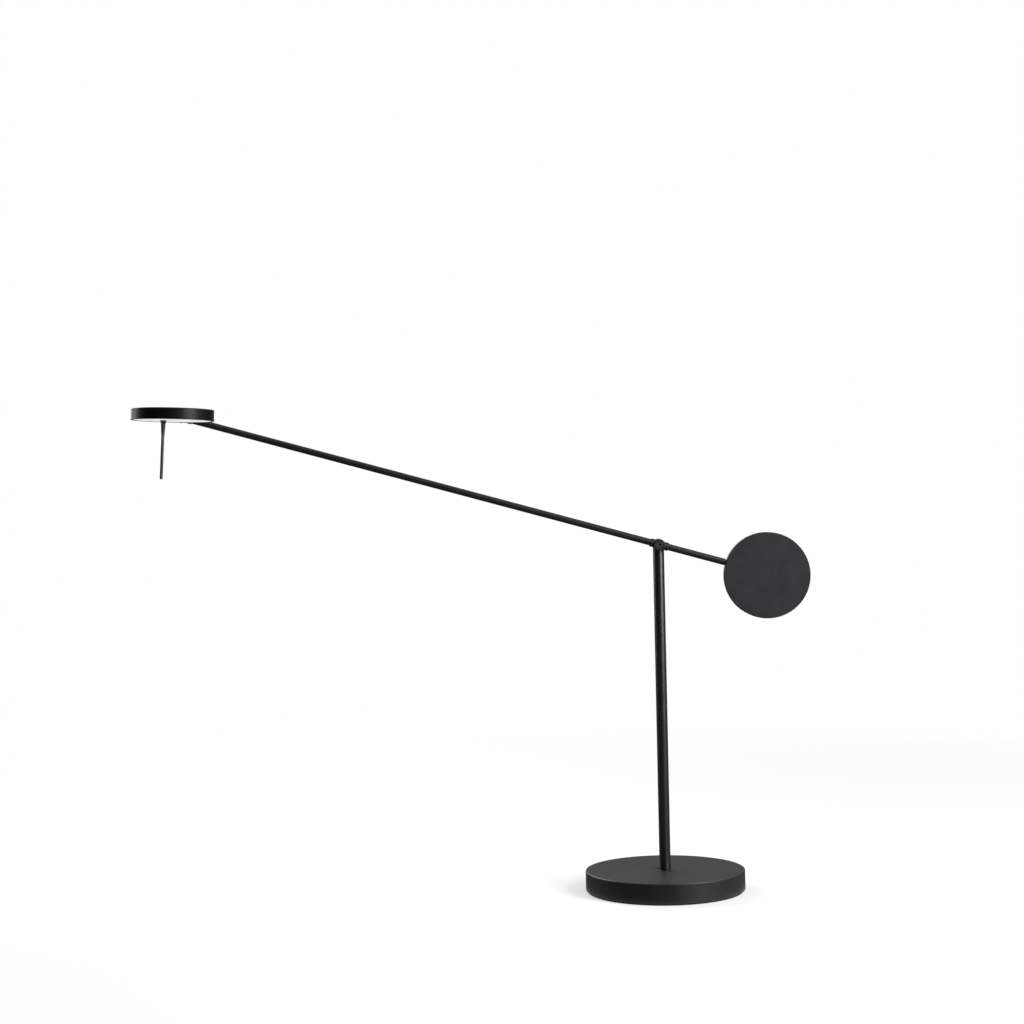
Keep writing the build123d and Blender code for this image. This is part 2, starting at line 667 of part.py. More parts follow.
# Solid rear rod with a shoulder and a stud that screws into the counterweight's edge.
weight_radius = weight_diameter / 2
weight_edge_station = weight_reach - sqrt(weight_radius**2 - weight_drop**2)
rod_shoulder = weight_edge_station - weight_neck_gap
stud_end = weight_edge_station + weight_stud_depth
with BuildPart() as rear_rod:
    rod(arm_line, arm_radius, -rod_shoulder, -hub_core)
    chamfer(rear_rod.faces().sort_by(Axis.X)[-1].edges(), boss_edge)
    rod(arm_line, weight_stud_radius, -stud_end, -rod_shoulder)
    rod(arm_screw_line(-set_screw_station), set_screw_radius, arm_bore_radius, arm_radius, Mode.SUBTRACT)
save(rear_rod, "rear_rod")

with BuildPart() as arm_set_screws:
    for station in screw_stations:
        screw_line = arm_screw_line(station)
        screw_top = hub_radius - set_screw_sink
        rod(screw_line, set_screw_radius, arm_bore_radius, screw_top)
        hexagon(screw_line, set_screw_radius, screw_top - set_screw_socket_depth, screw_top, Mode.SUBTRACT)
save(arm_set_screws, "arm_set_screws")

weight_screw_centre = weight_edge_station + weight_screw_station
weight_screw_line = Plane(origin=pivot_point - arm_direction * weight_screw_centre, x_dir=right,
                          z_dir=-front)
with BuildPart() as counterweight:
    with BuildSketch(weight_face):
        Circle(weight_radius)
    extrude(amount=weight_thickness / 2, both=True)
    chamfer(counterweight.edges().filter_by(GeomType.CIRCLE), weight_edge)
    rod(arm_line, weight_stud_radius, -stud_end, -weight_edge_station + cut_past, Mode.SUBTRACT)
    rod(weight_screw_line, weight_screw_radius, 0, weight_thickness / 2, Mode.SUBTRACT)
save(counterweight, "counterweight")

with BuildPart() as counterweight_set_screw:
    screw_top = weight_thickness / 2 - weight_screw_sink
    rod(weight_screw_line, weight_screw_radius, weight_stud_radius, screw_top)
    hexagon(weight_screw_line, weight_screw_radius, screw_top - weight_screw_socket_depth, screw_top,
            Mode.SUBTRACT)
save(counterweight_set_screw, "counterweight_set_screw")

# Knuckle at the arm's end: a socket for the tube and a cross boss that the head turns in.
with BuildPart() as head_knuckle:
    rod(arm_line, hub_radius, arm_reach - knuckle_length, arm_reach)
    chamfer(head_knuckle.faces().sort_by(Axis.X)[-1].edges(), hub_end_chamfer)
    rod(knuckle_line, boss_radius, boss_back, boss_face)
    chamfer(head_knuckle.faces().sort_by(Axis.Y)[-1].edges(), boss_edge)
    rod(arm_line, arm_radius, arm_reach - knuckle_length, tube_end, Mode.SUBTRACT)
    rod(knuckle_line, stub_shaft_radius + running, boss_back, boss_face, Mode.SUBTRACT)
    rod(arm_screw_line(knuckle_screw_station), set_screw_radius, arm_bore_radius, hub_radius,
        Mode.SUBTRACT)
save(head_knuckle, "head_knuckle")

with BuildPart() as lead_in_arm:
    lead_line = Plane(origin=pivot_point + arm_down * (arm_bore_radius - arm_lead_radius - lead_gap),
                      x_dir=-front, z_dir=arm_direction)
    rod(lead_line, arm_lead_radius, set_screw_station + 2 * set_screw_radius,
        knuckle_screw_station - 2 * set_screw_radius)
save(lead_in_arm, "lead_in_arm")

# ================================================================ head
def head_point(side, back, height):
    """A point given from the head's centre: to the right, to the back and up."""
    return head_level.from_local_coords((side, back, height))


# Round die-cast housing, open underneath, with a boss at the back for the pivot stub.
with BuildPart() as head_housing:
    rod(head_level, head_radius, -head_half, head_half)
    fillet(head_housing.faces().sort_by(Axis.Z)[-1].edges(), head_edge_radius)
    rod(head_level, head_inner_radius, -head_half, head_ceiling, Mode.SUBTRACT)
    rod(knuckle_line, stub_boss_radius, rim_back + head_wall / 2, stub_tail_end + stub_boss_floor)
    rod(knuckle_line, stub_collar_radius + loose, rim_back - cut_past, stub_seat, Mode.SUBTRACT)
    rod(knuckle_line, stub_tail_radius, stub_seat, stub_tail_end + stub_boss_floor, Mode.SUBTRACT)
    rod(handle_line, handle_stud_radius, head_ceiling, head_ceiling + handle_post_bite, Mode.SUBTRACT)
    with BuildSketch(head_level.offset(head_ceiling)):
        with PolarLocations(board_screw_circle_radius, board_screw_count, start_angle=-90):
            Circle(board_screw_radius)
    extrude(amount=board_screw_bite, mode=Mode.SUBTRACT)
save(head_housing, "head_housing")

# Turned stub: tail in the housing, collar against the rim, shaft through the knuckle.
with BuildPart() as head_stub:
    rod(knuckle_line, stub_tail_radius, stub_seat, stub_tail_end)
    rod(knuckle_line, stub_collar_radius, stub_washer_front, stub_seat)
    rod(knuckle_line, stub_shaft_radius, stub_shaft_back, stub_washer_front)
    rod(knuckle_line, pivot_screw_radius, stub_shaft_back, stub_shaft_back + pivot_screw_length,
        Mode.SUBTRACT)
    rod(knuckle_line, stub_lead_bore_radius, stub_tail_end - stub_lead_bore_depth, stub_tail_end,
        Mode.SUBTRACT)
save(head_stub, "head_stub")

with BuildPart() as head_washer:
    washer(knuckle_line, boss_radius - head_washer_inset, stub_shaft_radius + head_washer_gap,
           boss_face, stub_washer_front)
save(head_washer, "head_washer")

with BuildPart() as head_spring_washer:
    washer(knuckle_line, boss_radius - head_washer_inset, stub_shaft_radius + head_washer_gap,
           boss_back - spring_washer_thickness, boss_back)
save(head_spring_washer, "head_spring_washer")

with BuildPart() as head_pivot_screw:
    screw_seat = boss_back - spring_washer_thickness
    rod(knuckle_line, pivot_screw_head_radius, screw_seat - pivot_screw_head_height, screw_seat)
    fillet(head_pivot_screw.faces().sort_by(Axis.Y)[-1].edges(), pivot_screw_head_edge)
    rod(knuckle_line, pivot_screw_radius, screw_seat, stub_shaft_back + pivot_screw_length)
    hexagon(knuckle_line, pivot_screw_socket_across, screw_seat - pivot_screw_head_height,
            screw_seat - pivot_screw_head_height + pivot_screw_socket_depth, Mode.SUBTRACT)
save(head_pivot_screw, "head_pivot_screw")

# Aluminium-backed board on the housing's ceiling, notched for the stub's boss.
with BuildPart() as led_board:
    with BuildSketch(head_level.offset(led_board_bottom)):
        Circle(led_board_radius)
        with Locations((-handle_offset, 0)):
            Circle(handle_post_radius + loose, mode=Mode.SUBTRACT)
        with Locations((0, led_board_radius)):
            Rectangle(board_notch_width, 2 * (stub_tail_length + stub_boss_floor), mode=Mode.SUBTRACT)
        with PolarLocations(board_screw_circle_radius, board_screw_count, start_angle=-90):
            Circle(board_screw_radius + loose, mode=Mode.SUBTRACT)
    extrude(amount=board_thickness)
save(led_board, "led_board")

chip_rings = ((outer_chip_radius, outer_chip_count), (inner_chip_radius, inner_chip_count))
with BuildPart() as led_chips:
    with BuildSketch(head_level.offset(led_board_bottom)):
        for ring_radius, chip_count in chip_rings:
            with PolarLocations(ring_radius, chip_count, start_angle=180 / chip_count):
                Rectangle(*led_size)
    extrude(amount=-led_height)
save(led_chips, "led_chips")

with BuildPart() as led_board_screws:
    with BuildSketch(head_level.offset(led_board_bottom)):
        with PolarLocations(board_screw_circle_radius, board_screw_count, start_angle=-90):
            Circle(board_screw_head_radius)
    extrude(amount=-board_screw_head_height)
    with BuildSketch(head_level.offset(led_board_bottom)):
        with PolarLocations(board_screw_circle_radius, board_screw_count, start_angle=-90):
            Circle(board_screw_radius)
    extrude(amount=board_thickness + board_screw_bite)
save(led_board_screws, "led_board_screws")

# White ring between the ceiling and the diffuser, open where the stub's boss comes in.
with BuildPart() as reflector_ring:
    with BuildSketch(head_level.offset(diffuser_top)):
        Circle(head_inner_radius - diffuser_gap / 2)
        Circle(head_inner_radius - reflector_wall - diffuser_gap / 2, mode=Mode.SUBTRACT)
        with Locations((0, head_inner_radius)):
            Rectangle(board_notch_width, 4 * reflector_wall, mode=Mode.SUBTRACT)
    extrude(amount=head_ceiling - diffuser_top)
save(reflector_ring, "reflector_ring")

with BuildPart() as diffuser:
    with BuildSketch(head_level.offset(diffuser_bottom)):
        Circle(head_inner_radius - diffuser_gap)
        with Locations((-handle_offset, 0)):
            Circle(handle_stud_radius + loose, mode=Mode.SUBTRACT)
    extrude(amount=diffuser_thickness)
save(diffuser, "diffuser")

# Post from the ceiling to the diffuser; the aiming handle screws into it.
with BuildPart() as handle_post:
    rod(handle_line, handle_post_radius, diffuser_top, head_ceiling)
    rod(handle_line, handle_stud_radius, head_ceiling, head_ceiling + handle_post_bite)
    rod(handle_line, handle_stud_radius, diffuser_top, diffuser_top + handle_stud_bite, Mode.SUBTRACT)
save(handle_post, "handle_post")

collar_bottom = diffuser_bottom - handle_collar_length
handle_tip = diffuser_bottom - handle_length
with BuildPart() as handle_collar:
    washer(handle_line, handle_collar_radius, handle_stud_radius + running, collar_bottom, diffuser_bottom)
    chamfer(handle_collar.faces().sort_by(Axis.Z)[0].outer_wire().edges(), handle_collar_edge)
save(handle_collar, "handle_collar")

# Slim handle under the head: a cone that narrows to a round-ended rod.
with BuildPart() as aiming_handle:
    turned(handle_line, [
        (0, handle_tip),
        (handle_radius, handle_tip),
        (handle_radius, collar_bottom - handle_cone_length),
        (handle_cone_radius, collar_bottom),
        (handle_stud_radius, collar_bottom),
        (handle_stud_radius, diffuser_top + handle_stud_bite),
        (0, diffuser_top + handle_stud_bite),
    ])
    fillet(aiming_handle.faces().sort_by(Axis.Z)[0].edges(), handle_tip_edge)
save(aiming_handle, "aiming_handle")

# Lead from the stub's bore to the underside of the board, between the two rings of chips.
board_side = led_board_bottom - head_lead_radius
with BuildPart() as lead_in_head:
    stub_bore_end = back_of_head - stub_tail_end
    lead([head_point(0, stub_bore_end + stub_lead_bore_depth - 1, 0), head_point(0, stub_bore_end, 0),
          head_point(0, board_screw_circle_radius, board_side),
          head_point(0, board_screw_circle_radius - head_lead_landing, board_side)],
         head_lead_radius, head_lead_bend)
save(lead_in_head, "lead_in_head")
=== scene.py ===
"""Looks of a counterweight balance desk lamp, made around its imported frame.

Lengths are in metres, in the frame's own coordinates: the table is z = 0, the column stands on the
Z axis, the arm lies along X in front of it, with the lamp head at -X and the counterweight at +X.
"""

import json
import logging
import math
from dataclasses import dataclass, field
from enum import Enum
from typing import Callable, Iterable, Sequence

import bmesh
import bpy
import numpy as np
from mathutils import Matrix, Vector


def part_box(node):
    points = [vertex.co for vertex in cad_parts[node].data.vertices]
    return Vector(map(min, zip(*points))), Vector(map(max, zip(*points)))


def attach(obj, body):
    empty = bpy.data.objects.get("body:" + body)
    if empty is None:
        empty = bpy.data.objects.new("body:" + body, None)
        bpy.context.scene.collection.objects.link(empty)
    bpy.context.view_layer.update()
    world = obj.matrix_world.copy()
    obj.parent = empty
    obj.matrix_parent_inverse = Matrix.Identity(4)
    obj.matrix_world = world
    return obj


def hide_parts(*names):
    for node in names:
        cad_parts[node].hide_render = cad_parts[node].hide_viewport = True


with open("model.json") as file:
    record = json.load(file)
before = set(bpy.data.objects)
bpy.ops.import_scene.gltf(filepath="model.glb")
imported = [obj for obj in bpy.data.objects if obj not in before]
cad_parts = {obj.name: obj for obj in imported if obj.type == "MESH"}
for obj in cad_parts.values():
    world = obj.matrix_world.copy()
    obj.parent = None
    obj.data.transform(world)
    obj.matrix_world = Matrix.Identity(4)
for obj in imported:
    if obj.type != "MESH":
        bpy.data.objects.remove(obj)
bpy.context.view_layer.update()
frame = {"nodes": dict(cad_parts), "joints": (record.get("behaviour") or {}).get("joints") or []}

MM = 0.001
INSIDE = 0.02 * MM              # how far a piece stays inside the frame's box, or off a washer
UP = Vector((0.0, 0.0, 1.0))
FRONT = Vector((0.0, -1.0, 0.0))
EDGE_MASK = "edge"              # mesh attribute: 1 on rounded edges, 0 on flats
CREASE = math.radians(32.0)     # a crease sharper than this stays sharp
BESIDE_ARC = 0.25               # straight kept beside a rounding's arc, as a share of its reach
ARC_END_MASK = 0.25             # the edge mask where a rounding begins and ends
WELD = 0.001 * MM               # points of a turned piece nearer than this are one

log = logging.getLogger("lamp")

Field = Callable[[np.ndarray], np.ndarray]


# ---------------------------------------------------------------- node trees
class Wiring:
    """Adds nodes to one tree and joins their sockets."""

    def __init__(self, tree: bpy.types.NodeTree) -> None:
        """Keeps the tree.

        Args:
            tree: the shader or geometry tree that the nodes go into.
        """
        self.tree = tree

    def add(self, kind: str, inputs: dict | None = None, **settings: object) -> bpy.types.Node:
        """Adds a node.

        Args:
            kind: the node's class name.
            inputs: what its inputs are fed from or set to, by their names or numbers.
            settings: properties set on the node.

        Returns:
            The new node.
        """
        node = self.tree.nodes.new(kind)
        for name, value in settings.items():
            setattr(node, name, value)
        for name, value in (inputs or {}).items():
            self.put(node.inputs[name], value)
        return node

    def put(self, socket: bpy.types.NodeSocket, value: object) -> None:
        """Feeds a socket from another one, or sets its value.

        Args:
            socket: the input.
            value: an output socket, or a plain value.
        """
        if isinstance(value, bpy.types.NodeSocket):
            self.tree.links.new(value, socket)
        else:
            socket.default_value = value

    def math(self, operation: str, *values: object) -> bpy.types.NodeSocket:
        """Adds a maths node on numbers.

        Args:
            operation: its operation.
            values: what goes into its inputs, in order.

        Returns:
            The result's socket.
        """
        return self.add("ShaderNodeMath", dict(enumerate(values)), operation=operation).outputs[0]

    def spread(self, value: object, low: float, high: float, to_low: float,
               to_high: float) -> bpy.types.NodeSocket:
        """Maps a value from one range to another, clamped.

        Args:
            value: the socket that is mapped.
            low: the range's low end.
            high: the range's high end.
            to_low: what the low end becomes.
            to_high: what the high end becomes.

        Returns:
            The mapped value's socket.
        """
        node = self.add("ShaderNodeMapRange", {"Value": value, "From Min": low, "From Max": high,
                                               "To Min": to_low, "To Max": to_high})
        return node.outputs["Result"]


def new_tree(name: str, kind: str, inputs: Sequence[tuple], outputs: Sequence[tuple]) -> Wiring:
    """Makes a node group with named sockets.

    Args:
        name: the group's name.
        kind: the tree's class name.
        inputs: a name, a socket type and, for a plain value, its default, for each input.
        outputs: a name and a socket type for each output.

    Returns:
        The wiring of the new tree.
    """
    tree = bpy.data.node_groups.new(name, kind)
    for entry in inputs:
        socket = tree.interface.new_socket(name=entry[0], in_out="INPUT", socket_type=entry[1])
        if len(entry) > 2:
            socket.default_value = entry[2]
    for entry in outputs:
        tree.interface.new_socket(name=entry[0], in_out="OUTPUT", socket_type=entry[1])
    return Wiring(tree)


# ---------------------------------------------------------------- shader groups
FLOAT = "NodeSocketFloat"
VECTOR = "NodeSocketVector"
LUMP_DEPTH = -0.55              # the lumps' share of a coat's height, against the fine noise
FINE_SHARE = 0.45               # the fine noise's scale, as a share of the lumps'
PATCH_SCALE = 220.0             # how finely an edge's polish is broken up, per metre
EDGE_GLOSS = -0.12              # how much smoother a polished edge is


def make_powder_group() -> bpy.types.NodeTree:
    """Builds the texture of a sprayed and baked coat: small lumps, and a slow mottle.

    Returns:
        The shader group, with Vector, Grain and Mottle in, and Height and Mottle out.
    """
    wiring = new_tree("powder_texture", "ShaderNodeTree",
                      [("Vector", VECTOR), ("Grain", FLOAT, 2400.0), ("Mottle", FLOAT, 60.0)],
                      [("Height", FLOAT), ("Mottle", FLOAT)])
    entry = wiring.add("NodeGroupInput")
    lumps = wiring.add("ShaderNodeTexVoronoi", {
        "Vector": entry.outputs["Vector"], "Scale": entry.outputs["Grain"],
    }, feature="SMOOTH_F1")
    fine = wiring.add("ShaderNodeTexNoise", {
        "Vector": entry.outputs["Vector"],
        "Scale": wiring.math("MULTIPLY", entry.outputs["Grain"], FINE_SHARE), "Detail": 3.0,
    })
    slow = wiring.add("ShaderNodeTexNoise", {
        "Vector": entry.outputs["Vector"], "Scale": entry.outputs["Mottle"], "Detail": 5.0,
        "Roughness": 0.6,
    })
    height = wiring.math("ADD", wiring.math("MULTIPLY", lumps.outputs["Distance"], LUMP_DEPTH),
                         fine.outputs["Fac"])
    wiring.add("NodeGroupOutput", {
        "Height": height, "Mottle": wiring.spread(slow.outputs["Fac"], 0.3, 0.7, 0.0, 1.0),
    })
    return wiring.tree


def make_edge_group() -> bpy.types.NodeTree:
    """Builds the mask of edges where a coat is thin and polished by handling.

    Returns:
        The shader group, with Vector and Amount in, and Mask out.
    """
    wiring = new_tree("edge_polish", "ShaderNodeTree",
                      [("Vector", VECTOR), ("Amount", FLOAT, 0.5)], [("Mask", FLOAT)])
    entry = wiring.add("NodeGroupInput")
    edge = wiring.add("ShaderNodeAttribute", attribute_type="GEOMETRY", attribute_name=EDGE_MASK)
    breaks = wiring.add("ShaderNodeTexNoise", {
        "Vector": entry.outputs["Vector"], "Scale": PATCH_SCALE, "Detail": 4.0,
    })
    patchy = wiring.spread(breaks.outputs["Fac"], 0.35, 0.65, 0.35, 1.0)
    mask = wiring.math("MULTIPLY", wiring.math("MULTIPLY", edge.outputs["Fac"], patchy),
                       entry.outputs["Amount"])
    wiring.add("NodeGroupOutput", {"Mask": mask})
    return wiring.tree


def make_marks_group() -> bpy.types.NodeTree:
    """Builds the fine marks that a tool or a brush leaves, drawn out along one axis.

    Returns:
        The shader group, with Vector, Count and Stretch in, and Marks out.
    """
    wiring = new_tree("tool_marks", "ShaderNodeTree",
                      [("Vector", VECTOR), ("Count", FLOAT, 9000.0), ("Stretch", FLOAT, 40.0)],
                      [("Marks", FLOAT)])
    entry = wiring.add("NodeGroupInput")
    parts = wiring.add("ShaderNodeSeparateXYZ", {0: entry.outputs["Vector"]})
    across = wiring.add("ShaderNodeCombineXYZ")
    narrow = wiring.math("DIVIDE", 1.0, entry.outputs["Stretch"])
    wiring.put(across.inputs["X"], wiring.math("MULTIPLY", parts.outputs["X"], narrow))
    wiring.put(across.inputs["Y"], wiring.math("MULTIPLY", parts.outputs["Y"], narrow))
    wiring.put(across.inputs["Z"], parts.outputs["Z"])
    streaks = wiring.add("ShaderNodeTexNoise", {
        "Vector": across.outputs[0], "Scale": entry.outputs["Count"], "Detail": 3.0,
    })
    wiring.add("NodeGroupOutput", {
        "Marks": wiring.spread(streaks.outputs["Fac"], 0.25, 0.75, 0.0, 1.0),
    })
    return wiring.tree


class SharedTexture(Enum):
    """The shader groups that more than one finish uses."""

    POWDER = "powder_texture"
    EDGES = "edge_polish"
    MARKS = "tool_marks"

    def tree(self) -> bpy.types.NodeTree:
        """Builds this group once.

        Returns:
            The group, from then on.
        """
        makers = {SharedTexture.POWDER: make_powder_group, SharedTexture.EDGES: make_edge_group,
                  SharedTexture.MARKS: make_marks_group}
        return bpy.data.node_groups.get(self.value) or makers[self]()


# ---------------------------------------------------------------- finishes
Colour = tuple[float, float, float]


class Surface(Enum):
    """What a finish's texture looks like from close by."""

    GRAINED = "small lumps, as on a baked, moulded or cast face"
    MACHINED = "the marks of a tool, as on cut or drawn metal"


@dataclass(frozen=True)
class Finish:
    """A finish: its colours, its gloss and the texture that it is seen by."""

    name: str
    surface: Surface
    dark: Colour
    light: Colour
    roughness: tuple[float, float]
    grain: float = 2400.0           # lumps or marks per metre
    relief: float = 8e-6            # height of the texture, in metres
    metallic: float = 0.0
    specular: float = 0.5
    edge_amount: float = 0.0
    edge_colour: Colour = (0.1, 0.1, 0.1)
    coat: float = 0.0
    mottle: float = 60.0            # slow patches per metre

    def material(self) -> bpy.types.Material:
        """Builds the finish's material once.

        Returns:
            The material, from then on.
        """
        name = f"{self.name}_finish"
        made = bpy.data.materials.get(name)
        return made or self.dress(bpy.data.materials.new(name))

    def dress(self, material: bpy.types.Material) -> bpy.types.Material:
        """Fills a new material's node tree.

        Args:
            material: the empty material.

        Returns:
            The same material.
        """
        material.use_nodes = True
        wiring = Wiring(material.node_tree)
        shader = material.node_tree.nodes["Principled BSDF"]
        place = wiring.add("ShaderNodeTexCoord").outputs["Object"]
        height, mottle = self.texture(wiring, place)
        colour = wiring.add("ShaderNodeMix", {
            "Factor": mottle, "A": (*self.dark, 1.0), "B": (*self.light, 1.0),
        }, data_type="RGBA")
        colour_out = colour.outputs["Result"]
        roughness = wiring.spread(mottle, 0.0, 1.0, *self.roughness)
        if self.edge_amount > 0.0:
            edges = wiring.add("ShaderNodeGroup", {
                "Vector": place, "Amount": self.edge_amount,
            }, node_tree=SharedTexture.EDGES.tree())
            worn = wiring.add("ShaderNodeMix", {
                "Factor": edges.outputs["Mask"], "A": colour_out, "B": (*self.edge_colour, 1.0),
            }, data_type="RGBA")
            colour_out = worn.outputs["Result"]
            smoother = wiring.math("MULTIPLY", edges.outputs["Mask"], EDGE_GLOSS)
            roughness = wiring.math("ADD", roughness, smoother)
        bump = wiring.add("ShaderNodeBump", {
            "Strength": 1.0, "Distance": self.relief, "Height": height,
        })
        wiring.put(shader.inputs["Base Color"], colour_out)
        wiring.put(shader.inputs["Roughness"], roughness)
        wiring.put(shader.inputs["Normal"], bump.outputs["Normal"])
        shader.inputs["Metallic"].default_value = self.metallic
        shader.inputs["Specular IOR Level"].default_value = self.specular
        shader.inputs["Coat Weight"].default_value = self.coat
        self.light_up(wiring, shader)
        return material

    def texture(self, wiring: Wiring, place: bpy.types.NodeSocket) -> tuple:
        """Places the texture that goes with the surface.

        Args:
            wiring: the material's tree.
            place: the coordinates' socket.

        Returns:
            The sockets of the height and of the slow mottle.
        """
        powder = wiring.add("ShaderNodeGroup", {
            "Vector": place, "Grain": self.grain, "Mottle": self.mottle,
        }, node_tree=SharedTexture.POWDER.tree())
        if self.surface is not Surface.MACHINED:
            return powder.outputs["Height"], powder.outputs["Mottle"]
        marks = wiring.add("ShaderNodeGroup", {
            "Vector": place, "Count": self.grain,
        }, node_tree=SharedTexture.MARKS.tree())
        mixed = wiring.math("MULTIPLY", wiring.math("ADD", marks.outputs["Marks"],
                                                    powder.outputs["Mottle"]), 0.5)
        return marks.outputs["Marks"], mixed

    def light_up(self, wiring: Wiring, shader: bpy.types.Node) -> None:
        """Sets what only a lit finish has; this one has nothing.

        Args:
            wiring: the material's tree.
            shader: the material's main shader.
        """


@dataclass(frozen=True)
class OpalFinish(Finish):
    """Milky plastic that glows, with the lamp switched on."""

    glow: float = 0.60
    depth: float = 1.5 * MM
    between: Colour = (0.78, 0.755, 0.71)       # its glow away from the packages
    over: Colour = (1.0, 0.985, 0.955)          # and over them
    ring_radii: tuple[float, float] = (34.0 * MM, 20.0 * MM)
    ring_blur: float = 7.0 * MM
    scattered: float = 0.25                     # share of the light scattered inside

    def light_up(self, wiring: Wiring, shader: bpy.types.Node) -> None:
        """Sets the glow, brighter over the two rings of packages, and the light scattered inside.

        Args:
            wiring: the material's tree.
            shader: the material's main shader.
        """
        low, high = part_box("head_housing")
        centred = wiring.add("ShaderNodeMapping", {
            "Vector": wiring.add("ShaderNodeTexCoord").outputs["Object"],
        }, vector_type="POINT")
        centred.inputs["Location"].default_value = -(low + high) / 2
        distance = wiring.add("ShaderNodeVectorMath", {
            0: centred.outputs["Vector"],
        }, operation="LENGTH")
        rings = 0.0
        for radius in self.ring_radii:
            past = wiring.math("SUBTRACT", distance.outputs["Value"], radius)
            lit = wiring.spread(wiring.math("ABSOLUTE", past), 0.0, self.ring_blur, 1.0, 0.0)
            rings = wiring.math("ADD", rings, lit)
        glow = wiring.add("ShaderNodeMix", {
            "Factor": rings, "A": (*self.between, 1.0), "B": (*self.over, 1.0),
        }, data_type="RGBA")
        wiring.put(shader.inputs["Emission Color"], glow.outputs["Result"])
        shader.inputs["Emission Strength"].default_value = self.glow
        shader.inputs["Subsurface Weight"].default_value = self.scattered
        shader.inputs["Subsurface Radius"].default_value = (1.0, 1.0, 1.0)
        shader.inputs["Subsurface Scale"].default_value = self.depth


POLISHED_COAT: Colour = (0.03, 0.03, 0.031)

FINISHES: dict[str, Finish] = {finish.name: finish for finish in (
    Finish(
        "black_powder_coat", Surface.GRAINED, (0.0052, 0.0052, 0.0055), (0.0078, 0.0078, 0.0082),
        (0.42, 0.49), grain=1600.0, relief=60e-6, specular=0.44, edge_amount=0.5,
        edge_colour=POLISHED_COAT),
    Finish(
        "satin_tube_coat", Surface.GRAINED, (0.0045, 0.0045, 0.0047), (0.007, 0.007, 0.0073),
        (0.27, 0.32), grain=2400.0, relief=16e-6, specular=0.60, edge_amount=0.5,
        edge_colour=POLISHED_COAT),
    Finish(
        "satin_arm_coat", Surface.GRAINED, (0.0065, 0.0065, 0.0068), (0.0095, 0.0095, 0.01),
        (0.42, 0.49), grain=2400.0, relief=25e-6, specular=0.36, edge_amount=0.5,
        edge_colour=POLISHED_COAT),
    # The disc's coat is partly its own flatter grey and partly painted light: its colour is lighter
    # than the base's black coat, standing in for the front light and reflection that its face
    # catches.
    Finish(
        "flat_disc_coat_painted_light", Surface.GRAINED, (0.0136, 0.0136, 0.0155), (0.0195, 0.0195, 0.0217),
        (0.50, 0.58), grain=1600.0, relief=60e-6, specular=0.24, edge_amount=0.4,
        edge_colour=(0.045, 0.045, 0.047), mottle=45.0),
    Finish(
        "black_aluminium", Surface.GRAINED, (0.0028, 0.0028, 0.003), (0.0045, 0.0045, 0.0048),
        (0.34, 0.40), grain=5200.0, relief=5e-6, specular=0.18, edge_amount=0.6,
        edge_colour=(0.05, 0.05, 0.052)),
    Finish(
        "blackened_steel", Surface.MACHINED, (0.012, 0.012, 0.0125), (0.03, 0.03, 0.031),
        (0.30, 0.44), grain=7000.0, relief=2e-6, specular=0.5, edge_amount=0.6,
        edge_colour=(0.11, 0.11, 0.115)),
    Finish(
        "zinc_steel", Surface.MACHINED, (0.42, 0.43, 0.45), (0.62, 0.63, 0.65), (0.26, 0.42),
        grain=6000.0, relief=3e-6, metallic=1.0),
    Finish(
        "ballast_iron", Surface.GRAINED, (0.07, 0.07, 0.072), (0.12, 0.118, 0.115), (0.62, 0.78),
        grain=900.0, relief=60e-6, metallic=0.7),
    Finish(
        "foot_rubber", Surface.GRAINED, (0.013, 0.013, 0.013), (0.022, 0.022, 0.022), (0.7, 0.82),
        grain=1800.0, relief=14e-6, specular=0.3),
    Finish(
        "slip_washer", Surface.GRAINED, (0.02, 0.02, 0.021), (0.028, 0.028, 0.029), (0.34, 0.42),
        grain=4000.0, relief=2e-6, specular=0.4),
    Finish(
        "black_plastic", Surface.GRAINED, (0.011, 0.011, 0.0115), (0.018, 0.018, 0.019),
        (0.42, 0.52), grain=3200.0, relief=6e-6, specular=0.4, edge_amount=0.3),
    Finish(
        "driver_board_green", Surface.GRAINED, (0.01, 0.09, 0.03), (0.02, 0.15, 0.05), (0.3, 0.4),
        grain=1500.0, relief=4e-6, coat=0.3),
    Finish(
        "component_black", Surface.GRAINED, (0.018, 0.018, 0.02), (0.03, 0.03, 0.032),
        (0.22, 0.34), grain=2600.0, relief=4e-6),
    Finish(
        "board_white", Surface.GRAINED, (0.74, 0.74, 0.72), (0.82, 0.82, 0.8), (0.3, 0.38),
        grain=1800.0, relief=3e-6),
    Finish(
        "led_yellow", Surface.GRAINED, (0.8, 0.62, 0.16), (0.88, 0.72, 0.24), (0.18, 0.26),
        grain=5000.0, relief=2e-6),
    Finish(
        "reflector_white", Surface.GRAINED, (0.82, 0.82, 0.81), (0.88, 0.88, 0.87), (0.4, 0.5),
        grain=2000.0, relief=3e-6),
    OpalFinish(
        "opal_diffuser", Surface.GRAINED, (0.62, 0.62, 0.605), (0.67, 0.67, 0.655), (0.34, 0.42),
        grain=3500.0, relief=3e-6, mottle=25.0),
    Finish(
        "post_brass", Surface.MACHINED, (0.62, 0.42, 0.14), (0.78, 0.57, 0.22), (0.24, 0.36),
        grain=7000.0, relief=2e-6, metallic=1.0),
    Finish(
        "lead_sheath", Surface.GRAINED, (0.02, 0.02, 0.02), (0.032, 0.032, 0.032), (0.5, 0.62),
        grain=2500.0, relief=6e-6),
)}

# frame nodes with another finish than their slot's
NODE_FINISHES: dict[str, str] = {
    "column_tube": "satin_tube_coat",
    "arm_tube": "satin_arm_coat",
    "rear_rod": "satin_arm_coat",
    "column_spindle": "black_powder_coat",
    "head_spring_washer": "blackened_steel",
    "pivot_spring_washer": "blackened_steel",
}


